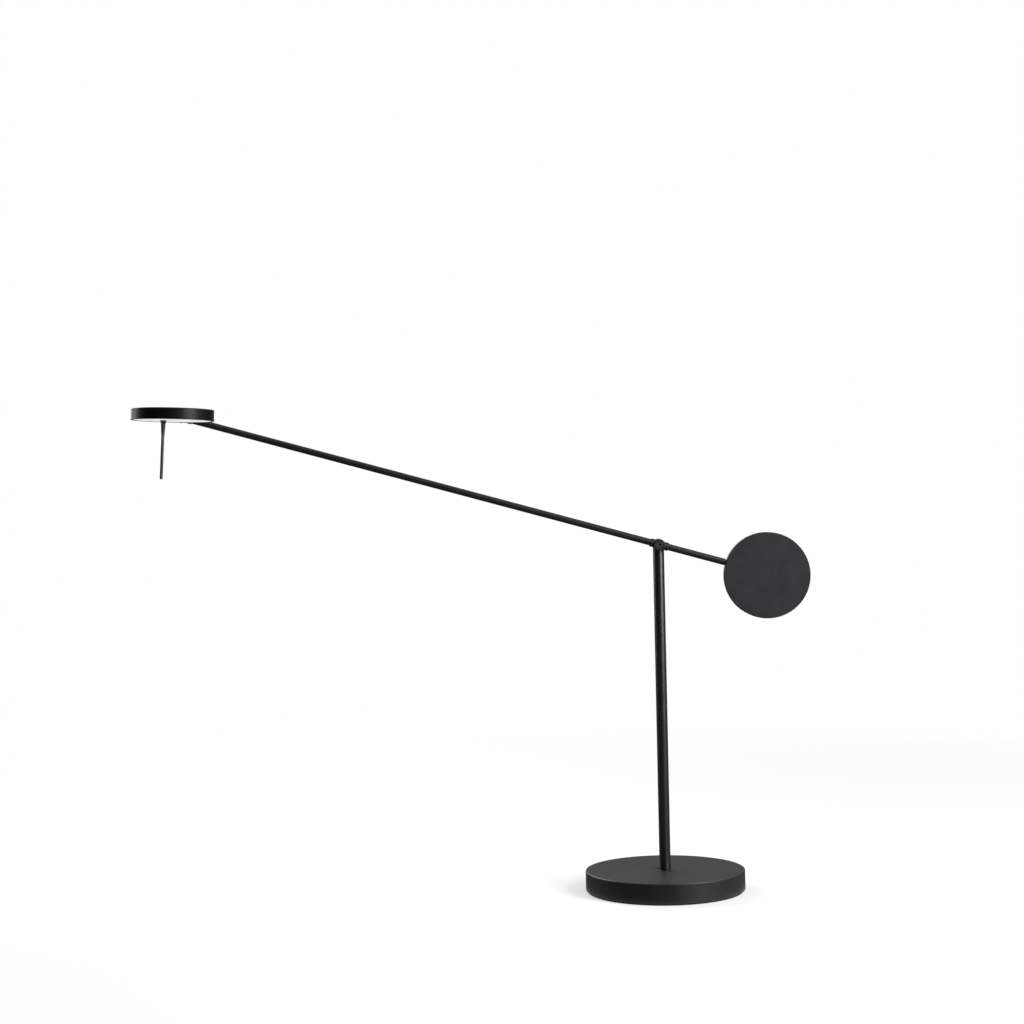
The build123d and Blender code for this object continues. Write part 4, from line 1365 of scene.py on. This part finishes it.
# ---------------------------------------------------------------- column
@dataclass
class Column:
    """The column's head and the pivot's fasteners."""

    radius: float
    tube_top: float
    head_half: float
    drum_radius: float
    drum_edge: float = 0.4 * MM
    neck_edge: float = 0.15 * MM
    neck_fillet: float = 0.8 * MM       # where the neck meets the drum
    bolt_radius: float = 2.5 * MM
    bolt_play: float = 0.05 * MM        # between the bolt and its bore
    bolt_head: float = 4.0 * MM
    bolt_head_edge: float = 0.35 * MM
    bolt_head_height: float = 2.2 * MM
    socket_across: float = 3.0 * MM
    socket_depth: float = 1.5 * MM
    nut_across: float = 8.0 * MM
    nut_height: float = 3.5 * MM
    nut_bore_depth: float = 5.0 * MM
    nut_turned_down: float = 0.64       # its corners' radius, as a share of its width
    nut_dome_inset: float = 0.25 * MM
    nut_dome_rounding: float = 0.84     # as a share of the dome's radius

    @classmethod
    def from_frame(cls) -> "Column":
        """Reads the column's sizes from the frame.

        Returns:
            The column, ready to build.
        """
        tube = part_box("column_tube")[1]
        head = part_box("column_head")[1]
        return cls(radius=tube.x, tube_top=tube.z, head_half=head.y, drum_radius=head.x)

    def build_head(self) -> None:
        """Makes the cross drum on its neck, as one casting."""
        centre = Vector((0.0, 0.0, PIVOT.z))
        reach = FRONT * self.head_half
        drum = rod_field(centre - reach, centre + reach, self.drum_radius, edge=self.drum_edge)
        neck = rod_field(UP * self.tube_top, centre, self.radius - INSIDE, edge=self.neck_edge)
        bore = rod_field(centre - reach * 2, centre + reach * 2,
                         self.bolt_radius + self.bolt_play)
        wide = Vector((self.drum_radius, self.head_half, 0.0))
        shape = without(joined([drum, neck], self.neck_fillet), [bore], 0.2 * MM)
        casting = Blended("column_crown", shape, UP * self.tube_top - wide,
                          UP * (PIVOT.z + self.drum_radius) + wide)
        seat(casting.make("satin_tube_coat"), "column", "black_powder_coat", "column_head")

    def build_bolt(self) -> None:
        """Makes the pivot bolt, with a hexagon socket in its head."""
        low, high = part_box("pivot_bolt")
        face = Vector((PIVOT.x, low.y, PIVOT.z))
        seat_face = face - FRONT * self.bolt_head_height
        head = rod_field(face, seat_face, self.bolt_head, edge=self.bolt_head_edge)
        shank = rod_field(seat_face + FRONT * 0.3 * MM, Vector((PIVOT.x, high.y, PIVOT.z)),
                          self.bolt_radius, edge=0.2 * MM)
        socket = hexagon_field(face + FRONT * MM, face - FRONT * self.socket_depth,
                               self.socket_across)
        shape = without(joined([head, shank], 0.1 * MM), [socket], 0.12 * MM)
        bolt = Blended("pivot_shoulder_bolt", shape, low, high, cell=0.16 * MM)
        seat(bolt.make("blackened_steel"), "column", "blackened_steel", "pivot_bolt")

    def build_nut(self) -> None:
        """Makes the domed cap nut behind the column."""
        low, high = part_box("pivot_cap_nut")
        centre = Vector((PIVOT.x, low.y, PIVOT.z))
        back = -FRONT
        flats = hexagon_field(centre, centre + back * self.nut_height, self.nut_across,
                              edge=0.15 * MM)
        turned_down = ball_field(centre + back * 0.3 * MM, self.nut_across * self.nut_turned_down)
        dome_radius = self.nut_across / 2 - self.nut_dome_inset
        stem = rod_field(centre + back * MM, Vector((centre.x, high.y, centre.z)), dome_radius,
                         edge=dome_radius * self.nut_dome_rounding)
        bore = rod_field(centre - back * MM, centre + back * self.nut_bore_depth, self.bolt_radius)

        def hexagon(points: np.ndarray) -> np.ndarray:
            """Returns the distances from the hexagon with its corners turned down."""
            return smooth_max(flats(points), turned_down(points), 0.15 * MM)

        shape = without(joined([hexagon, stem], 0.3 * MM), [bore], 0.1 * MM)
        nut = Blended("pivot_acorn_nut", shape, low, high, cell=0.16 * MM)
        seat(nut.make("blackened_steel"), "column", "blackened_steel", "pivot_cap_nut")

    def build(self) -> None:
        """Makes every piece of the column that is built here."""
        self.build_head()
        self.build_bolt()
        self.build_nut()


# ---------------------------------------------------------------- arm
@dataclass
class Arm:
    """The arm's hub and knuckle, and the disc that balances it."""

    weight_centre: Vector
    weight_radius: float
    weight_half: float
    hub_half: float = 11.0 * MM
    sleeve_radius: float = 4.7 * MM
    boss_radius: float = 6.3 * MM
    knuckle_length: float = 14.0 * MM
    bolt_recess: float = 4.2 * MM
    bolt_recess_depth: float = 2.5 * MM
    bolt_hole: float = 2.55 * MM
    stub_hole: float = 3.05 * MM
    weight_rounding: float = 0.7 * MM
    weight_screw: float = 2.0 * MM
    weight_screw_depth: float = 3.5 * MM

    @classmethod
    def from_frame(cls) -> "Arm":
        """Reads the arm's sizes from the frame.

        Returns:
            The arm, ready to build.
        """
        low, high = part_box("counterweight")
        return cls(weight_centre=(low + high) / 2, weight_radius=(high.x - low.x) / 2,
                   weight_half=(high.y - low.y) / 2)

    def build_hub(self) -> None:
        """Makes the hub that the bolt goes through."""
        low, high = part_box("arm_hub")
        face = Vector((PIVOT.x, low.y, PIVOT.z))
        back = -FRONT
        above, behind = face + FRONT * MM, Vector((PIVOT.x, high.y, PIVOT.z)) + back * MM
        cuts = [rod_field(above, face + back * self.bolt_recess_depth, self.bolt_recess),
                rod_field(above, behind, self.bolt_hole)]
        hub = crossing("arm_cross_hub", "arm_hub", PIVOT, (-self.hub_half, self.hub_half),
                       self.sleeve_radius, self.boss_radius, cuts)
        seat(hub.make("satin_arm_coat"), "arm", "black_powder_coat", "arm_hub")

    def build_knuckle(self) -> None:
        """Makes the knuckle that the head turns in."""
        low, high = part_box("head_knuckle")
        hole = rod_field(Vector((KNUCKLE.x, low.y - MM, KNUCKLE.z)),
                         Vector((KNUCKLE.x, high.y + MM, KNUCKLE.z)), self.stub_hole)
        knuckle = crossing("arm_end_knuckle", "head_knuckle", KNUCKLE, (-self.knuckle_length, 0.0),
                           self.sleeve_radius, self.boss_radius, [hole])
        seat(knuckle.make("satin_arm_coat"), "arm", "black_powder_coat", "head_knuckle")

    def build_weight(self) -> None:
        """Makes the balancing disc, with the set screw's hole at its back."""
        half, rounding = self.weight_half, self.weight_rounding
        corners = (Corner(0.0, -half), Corner(self.weight_radius, -half, rounding),
                   Corner(self.weight_radius, half, rounding), Corner(0.0, half))
        disc = Turning("balance_disc", corners, self.weight_centre, FRONT.copy(), segments=256)
        # The disc's coat is partly painted light: a lighter colour stands in for the light and
        # reflection on its face.
        piece = disc.make("flat_disc_coat_painted_light")
        screw = middle("counterweight_set_screw")
        back_face = Vector((screw.x, self.weight_centre.y + half, screw.z))
        drill(piece, [tool(self.weight_screw, back_face + FRONT * self.weight_screw_depth,
                           back_face - FRONT * MM)])
        seat(piece, "arm", "black_powder_coat", "counterweight")

    def build(self) -> None:
        """Makes every piece of the arm that is built here."""
        self.build_hub()
        self.build_knuckle()
        self.build_weight()


# ---------------------------------------------------------------- head
@dataclass
class LampHead:
    """The disc head: its housing, its diffuser, its light source and its handle."""

    centre: Vector
    radius: float
    half: float = 6.35 * MM
    tilt: float = math.radians(2.04)
    wall: float = 1.8 * MM
    top: float = 2.6 * MM
    top_rounding: float = 1.2 * MM
    rim_rounding: float = 0.25 * MM
    diffuser_sink: float = 0.4 * MM
    diffuser_thickness: float = 2.5 * MM
    diffuser_gap: float = 0.3 * MM
    handle_offset: float = 10.0 * MM
    handle_length: float = 65.0 * MM
    handle_radius: float = 1.7 * MM
    handle_lean: float = math.radians(1.35)     # more than the head's own tilt
    handle_tip: float = 0.97                    # its end's rounding, as a share of its radius
    cone_radius: float = 2.7 * MM
    cone_length: float = 16.6 * MM
    cone_blend: float = 200.0 * MM              # the rounding where it turns into the rod
    collar_radius: float = 3.3 * MM
    collar_length: float = 2.5 * MM
    collar_bore: float = 1.55 * MM
    handle_hole: float = 1.7 * MM               # in the diffuser
    stud_radius: float = 1.5 * MM
    stud_length: float = 4.5 * MM               # over the diffuser
    stub_collar: float = 4.7 * MM
    screw_head: float = 4.2 * MM
    screw_head_height: float = 2.0 * MM
    screw_shank: float = 1.5 * MM
    screw_socket_across: float = 2.1 * MM
    screw_socket_depth: float = 1.4 * MM
    board: float = 1.6 * MM
    chip_size: tuple[float, float, float] = (3.5 * MM, 2.8 * MM, 0.7 * MM)
    chip_bevel: float = 0.12 * MM
    chip_rings: tuple[tuple[float, int], ...] = ((34.0 * MM, 24), (20.0 * MM, 12))

    @classmethod
    def from_frame(cls) -> "LampHead":
        """Reads the head's sizes from the frame.

        Returns:
            The head, ready to build.
        """
        low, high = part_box("head_housing")
        return cls(centre=(low + high) / 2, radius=(high.y - low.y) / 2 - INSIDE)

    @property
    def axis(self) -> Vector:
        """The head's own up direction."""
        return Vector((math.sin(self.tilt), 0.0, math.cos(self.tilt)))

    @property
    def right(self) -> Vector:
        """The head's own direction to the right."""
        return Vector((math.cos(self.tilt), 0.0, -math.sin(self.tilt)))

    @property
    def diffuser_bottom(self) -> float:
        """The height of the diffuser's face over the head's middle."""
        return self.diffuser_sink - self.half

    @property
    def handle_origin(self) -> Vector:
        """Where the handle's line crosses the head's middle."""
        return self.centre - self.right * self.handle_offset

    def build_housing(self) -> None:
        """Makes the shallow housing, with the seat of the stub's collar in its rim."""
        inner, ceiling = self.radius - self.wall, self.half - self.top
        corners = (
            Corner(0.0, ceiling), Corner(inner, ceiling, 0.6 * MM),
            Corner(inner, -self.half, self.rim_rounding),
            Corner(self.radius, -self.half, self.rim_rounding),
            Corner(self.radius, self.half, self.top_rounding), Corner(0.0, self.half),
        )
        housing = Turning("head_shell", corners, self.centre, self.axis, segments=224)
        piece = housing.make("black_aluminium")
        rim = Vector((KNUCKLE.x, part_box("head_housing")[1].y, KNUCKLE.z))
        drill(piece, [tool(self.stub_collar, rim + FRONT * 0.3 * MM, rim - FRONT * 2 * MM)])
        seat(piece, "head", "black_aluminium", "head_housing")

    def build_diffuser(self) -> None:
        """Makes the opal disc under the head, with the handle's hole."""
        radius = self.radius - self.wall - self.diffuser_gap
        low, high = self.diffuser_bottom, self.diffuser_bottom + self.diffuser_thickness
        corners = (Corner(0.0, low), Corner(radius, low, 0.5 * MM), Corner(radius, high, 0.3 * MM),
                   Corner(0.0, high))
        disc = Turning("opal_disc", corners, self.centre, self.axis, segments=224)
        piece = disc.make("opal_diffuser")
        below = self.handle_origin + self.axis * (low - MM)
        above = below + self.axis * (self.diffuser_thickness + 2 * MM)
        drill(piece, [tool(self.handle_hole, below, above)])
        seat(piece, "head", "opal_diffuser", "diffuser")

    def build_chips(self) -> None:
        """Sets the light source's packages out in two rings under the board."""
        board_bottom = self.half - self.top - self.board
        rings = []
        for ring_radius, count in self.chip_rings:
            mesh = bpy.data.meshes.new("led_packages")
            self.fill_chip(mesh)
            ring = object_of("led_packages", mesh)
            ShapeTree.RING.apply(ring, FINISHES["led_yellow"], Count=count, Radius=ring_radius,
                                 Start=math.pi / count)
            rings.append(ring)
        self.join_rings(rings)
        piece = rings[0]
        piece.name = "led_packages"
        place = self.centre + self.axis * board_bottom
        piece.data.transform(placed_along(place, self.right, self.axis))
        soften(piece.data)
        seat(piece, "head", "led_yellow", "led_chips")

    def fill_chip(self, mesh: bpy.types.Mesh) -> None:
        """Fills a mesh with one package, hanging below its origin, its edges bevelled.

        Args:
            mesh: the empty mesh.
        """
        shape = bmesh.new()
        bmesh.ops.create_cube(shape, size=1.0)
        bmesh.ops.scale(shape, vec=self.chip_size, verts=shape.verts)
        bmesh.ops.translate(shape, vec=(0.0, 0.0, -self.chip_size[2] / 2), verts=shape.verts)
        bmesh.ops.bevel(shape, geom=shape.edges, offset=self.chip_bevel, segments=2,
                        affect="EDGES")
        shape.to_mesh(mesh)
        shape.free()

    def join_rings(self, rings: list[bpy.types.Object]) -> None:
        """Joins the rings of packages into the first of them.

        Args:
            rings: the rings' objects.
        """
        shape = bmesh.new()
        for ring in rings:
            shape.from_mesh(ring.data)
        shape.to_mesh(rings[0].data)
        shape.free()
        for ring in rings[1:]:
            bpy.data.objects.remove(ring)

    def build_handle(self) -> None:
        """Makes the collar and the slim handle, a cone that narrows to a round-ended rod."""
        collar_bottom = self.diffuser_bottom - self.collar_length
        tip = self.diffuser_bottom - self.handle_length
        stud_top = self.diffuser_bottom + self.diffuser_thickness + self.stud_length
        collar = (Corner(self.collar_bore, collar_bottom),
                  Corner(self.collar_radius, collar_bottom, 0.45 * MM),
                  Corner(self.collar_radius, self.diffuser_bottom, 0.15 * MM),
                  Corner(self.collar_bore, self.diffuser_bottom))
        handle = (Corner(0.0, tip),
                  Corner(self.handle_radius, tip, self.handle_radius * self.handle_tip),
                  Corner(self.handle_radius, collar_bottom - self.cone_length, self.cone_blend),
                  Corner(self.cone_radius, collar_bottom, 0.2 * MM),
                  Corner(self.stud_radius, collar_bottom), Corner(self.stud_radius, stud_top),
                  Corner(0.0, stud_top))
        origin = self.handle_origin
        ring = Turning("handle_ring", collar, origin, self.axis, closed=True, segments=72)
        seat(ring.make("black_plastic"), "head", "black_plastic", "handle_collar")
        stick = Turning("handle_stick", handle, origin, self.axis, segments=64)
        piece = stick.make("blackened_steel")
        for vertex in piece.data.vertices:
            depth = collar_bottom - self.axis.dot(vertex.co - origin)
            vertex.co -= self.right * max(depth, 0.0) * math.tan(self.handle_lean)
        seat(piece, "head", "blackened_steel", "aiming_handle")

    def build_pivot_screw(self) -> None:
        """Makes the button-head screw at the back of the head's pivot."""
        low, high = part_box("head_pivot_screw")
        back_face = Vector((KNUCKLE.x, high.y, KNUCKLE.z))
        seat_face = back_face + FRONT * self.screw_head_height
        head = rod_field(back_face, seat_face, self.screw_head, edge=0.9 * MM)
        shank = rod_field(seat_face - FRONT * 0.5 * MM, Vector((KNUCKLE.x, low.y, KNUCKLE.z)),
                          self.screw_shank)
        socket = hexagon_field(back_face - FRONT * MM, back_face + FRONT * self.screw_socket_depth,
                               self.screw_socket_across)
        shape = without(joined([head, shank], 0.1 * MM), [socket], 0.1 * MM)
        screw = Blended("head_button_screw", shape, low, high, cell=0.16 * MM)
        seat(screw.make("blackened_steel"), "head", "blackened_steel", "head_pivot_screw")

    def build(self) -> None:
        """Makes every piece of the head that is built here."""
        self.build_housing()
        self.build_diffuser()
        self.build_chips()
        self.build_handle()
        self.build_pivot_screw()


# ---------------------------------------------------------------- frame nodes
def dress_frame_nodes() -> None:
    """Gives every frame node its finish, by the slot that its packed material names."""
    for name, node in frame["nodes"].items():
        slot = node.material_slots[0].material.name.split(".")[0]
        finish = FINISHES[NODE_FINISHES.get(name, slot)]
        for material_slot in node.material_slots:
            material_slot.material = finish.material()
        log.info("%s: finished as %s", name, finish.name)


# ---------------------------------------------------------------- studio
def studio_material(name: str) -> tuple[bpy.types.Material, Wiring, bpy.types.NodeSocket]:
    """Makes a material for the studio, without its usual shader.

    Args:
        name: the material's name.

    Returns:
        The material, its wiring, and the socket that its surface goes into.
    """
    material = bpy.data.materials.new(name)
    material.use_nodes = True
    tree = material.node_tree
    tree.nodes.remove(tree.nodes["Principled BSDF"])
    leave = next(node for node in tree.nodes if node.type == "OUTPUT_MATERIAL")
    return material, Wiring(tree), leave.inputs["Surface"]


@dataclass(frozen=True)
class Softbox:
    """A rectangular studio lamp that points at the object."""

    name: str
    azimuth: float                  # degrees to the right of the view, round the object
    elevation: float                # degrees over the table
    distance: float
    width: float
    height: float
    power: float
    colour: Colour = (1.0, 1.0, 1.0)
    target: Vector = field(default_factory=lambda: Vector((-0.1, 0.0, 0.25)))

    def build(self) -> None:
        """Adds the lamp to the scene."""
        data = bpy.data.lights.new(self.name, "AREA")
        data.shape = "RECTANGLE"
        data.size, data.size_y = self.width, self.height
        data.energy = self.power
        data.color = self.colour
        lamp = bpy.data.objects.new(self.name, data)
        azimuth, elevation = math.radians(self.azimuth), math.radians(self.elevation)
        away = Vector((math.sin(azimuth) * math.cos(elevation),
                       -math.cos(azimuth) * math.cos(elevation), math.sin(elevation)))
        lamp.location = self.target + away * self.distance
        lamp.rotation_euler = (-away).to_track_quat("-Z", "Y").to_euler()
        bpy.context.scene.collection.objects.link(lamp)


MAT_INNER = (0.1, 0.5 * MM)
MAT_OUTER = (3.0, 0.5 * MM)


@dataclass(frozen=True)
class Card:
    """A curved grey card round the set, or flat on its floor, which only shows in gloss."""

    name: str
    start: float                    # degrees to the right of the view
    end: float
    shade: float
    near: tuple[float, float] = (3.0, 0.0)      # radius and height of one edge
    far: tuple[float, float] = (3.0, 1.7)       # and of the other
    steps: int = 12

    def build(self) -> None:
        """Adds the card to the scene, out of sight of everything but reflections."""
        shape = bmesh.new()
        rows = []
        for step in range(self.steps + 1):
            angle = math.radians(self.start + (self.end - self.start) * step / self.steps)
            spoke = Vector((math.sin(angle), -math.cos(angle), 0.0))
            rows.append([shape.verts.new(spoke * radius + UP * height)
                         for radius, height in (self.near, self.far)])
        for (low, high), (next_low, next_high) in zip(rows, rows[1:]):
            shape.faces.new((next_low, low, high, next_high))
        mesh = bpy.data.meshes.new(self.name)
        shape.to_mesh(mesh)
        shape.free()
        card = object_of(self.name, mesh)
        material, wiring, surface = studio_material(self.name)
        paint = wiring.add("ShaderNodeEmission", {"Strength": self.shade})
        wiring.put(surface, paint.outputs[0])
        mesh.materials.append(material)
        card.visible_camera = card.visible_diffuse = card.visible_transmission = False
        card.visible_volume_scatter = card.visible_shadow = False


@dataclass
class Studio:
    """The pale floor, the world, the cards, the lamps and the camera."""

    camera_place: Vector = field(default_factory=lambda: Vector((-0.1649, -2.2231, 0.4318)))
    camera_roll: float = math.radians(1.205)
    lens: float = 69.01
    sensor: float = 36.0
    floor_radius: float = 12.0
    floor_colour: Colour = (0.55, 0.55, 0.55)
    floor_lift: float = 0.42                    # light that the floor gives off, where it is seen
    floor_fade: tuple[float, float] = (0.5, 1.6)    # from here on it turns to plain white
    ambient: float = 0.32
    boxes: tuple[Softbox, ...] = (
        Softbox("key_softbox", 52.0, 22.0, 1.9, 1.05, 1.5, 47.0),
        Softbox("side_softbox", 98.0, 20.0, 1.9, 0.40, 1.3, 1.5),
        Softbox("left_strip", -108.0, 18.0, 1.9, 0.45, 1.4, 8.0),
        Softbox("back_softbox", 215.0, 28.0, 1.9, 1.1, 1.3, 18.0),
        Softbox("top_softbox", 0.0, 82.0, 2.2, 1.8, 1.4, 5.0),
    )

    cards: tuple[Card, ...] = (
        Card("card_front", -100.0, 20.0, 0.0, far=(3.0, 3.2)),
        Card("card_right", 20.0, 90.0, 0.5, far=(3.0, 2.4)),
        Card("card_right_back", 90.0, 150.0, 0.06),
        Card("card_back", 150.0, 210.0, 0.2),
        Card("card_left_back", 210.0, 260.0, 0.14),
        Card("card_over", 0.0, 360.0, 0.5, (0.0, 3.2), (3.0, 3.2)),
        Card("mat_left", -150.0, 15.0, 0.12, MAT_INNER, MAT_OUTER),
        Card("mat_right", 15.0, 110.0, 0.3, MAT_INNER, MAT_OUTER),
        Card("mat_back", 110.0, 210.0, 0.15, MAT_INNER, MAT_OUTER),
    )

    def build_camera(self) -> None:
        """Adds the camera, at the photograph's place, with its slight roll."""
        data = bpy.data.cameras.new("camera")
        data.lens, data.sensor_width = self.lens, self.sensor
        camera = bpy.data.objects.new("camera", data)
        camera.location = self.camera_place
        camera.rotation_euler = (math.radians(90), self.camera_roll, 0.0)
        bpy.context.scene.collection.objects.link(camera)
        bpy.context.scene.camera = camera

    def seen_directly(self, wiring: Wiring) -> bpy.types.NodeSocket:
        """Adds the mask of rays that show the background.

        Args:
            wiring: the tree that it goes into.

        Returns:
            1 for camera, glossy and transmission rays, and 0 for the rest.
        """
        path = wiring.add("ShaderNodeLightPath")
        most = wiring.math("MAXIMUM", path.outputs["Is Camera Ray"], path.outputs["Is Glossy Ray"])
        return wiring.math("MAXIMUM", most, path.outputs["Is Transmission Ray"])

    def build_world(self) -> None:
        """Makes the world white where it is seen, and a plain grey light elsewhere."""
        world = bpy.data.worlds.new("studio_world")
        world.use_nodes = True
        bpy.context.scene.world = world
        wiring = Wiring(world.node_tree)
        background = world.node_tree.nodes["Background"]
        level = wiring.spread(self.seen_directly(wiring), 0.0, 1.0, self.ambient, 1.0)
        wiring.put(background.inputs["Color"], (1.0, 1.0, 1.0, 1.0))
        wiring.put(background.inputs["Strength"], level)

    def build_floor(self) -> None:
        """Makes the floor: it keeps the object's shadow, and fades to plain white far off."""
        mesh = bpy.data.meshes.new("floor")
        shape = bmesh.new()
        bmesh.ops.create_circle(shape, cap_ends=True, radius=self.floor_radius, segments=96)
        shape.to_mesh(mesh)
        shape.free()
        floor = object_of("floor", mesh)
        floor.data.materials.append(self.floor_material())

    def floor_material(self) -> bpy.types.Material:
        """Builds the floor's material.

        Returns:
            The material: matt paint near the object, and plain white far off and where it reflects.
        """
        material, wiring, surface = studio_material("studio_floor")
        matt = wiring.add("ShaderNodeBsdfDiffuse", {"Color": (*self.floor_colour, 1.0)})
        lift = wiring.add("ShaderNodeEmission", {
            "Color": (1.0, 1.0, 1.0, 1.0),
            "Strength": wiring.math("MULTIPLY", self.seen_directly(wiring), self.floor_lift),
        })
        near = wiring.add("ShaderNodeAddShader", {0: matt.outputs[0], 1: lift.outputs[0]})
        white = wiring.add("ShaderNodeEmission", {"Strength": 1.0})
        distance = wiring.add("ShaderNodeVectorMath", {
            0: wiring.add("ShaderNodeTexCoord").outputs["Object"],
        }, operation="LENGTH")
        far = wiring.spread(distance.outputs["Value"], *self.floor_fade, 0.0, 1.0)
        shown = wiring.math("MULTIPLY", far, self.seen_directly(wiring))
        mixed = wiring.add("ShaderNodeMixShader", {
            0: shown, 1: near.outputs[0], 2: white.outputs[0],
        })
        clear = wiring.add("ShaderNodeBsdfTransparent")
        sides = wiring.add("ShaderNodeMixShader", {
            0: wiring.add("ShaderNodeNewGeometry").outputs["Backfacing"], 1: mixed.outputs[0],
            2: clear.outputs[0],
        })
        wiring.put(surface, sides.outputs[0])
        return material

    def build(self) -> None:
        """Sets the whole studio up."""
        bpy.context.scene.view_settings.view_transform = "Standard"
        self.build_camera()
        self.build_world()
        self.build_floor()
        for item in (*self.boxes, *self.cards):
            item.build()


def main() -> None:
    """Builds the studio and the lamp, sub-assembly by sub-assembly."""
    logging.basicConfig(level=logging.INFO, format="%(name)s: %(message)s")
    Studio().build()
    dress_frame_nodes()
    for assembly in (LampBase.from_frame(), Column.from_frame(), Arm.from_frame(),
                     LampHead.from_frame()):
        log.info("building %s", type(assembly).__name__)
        assembly.build()


if __name__ == "__main__":
    main()
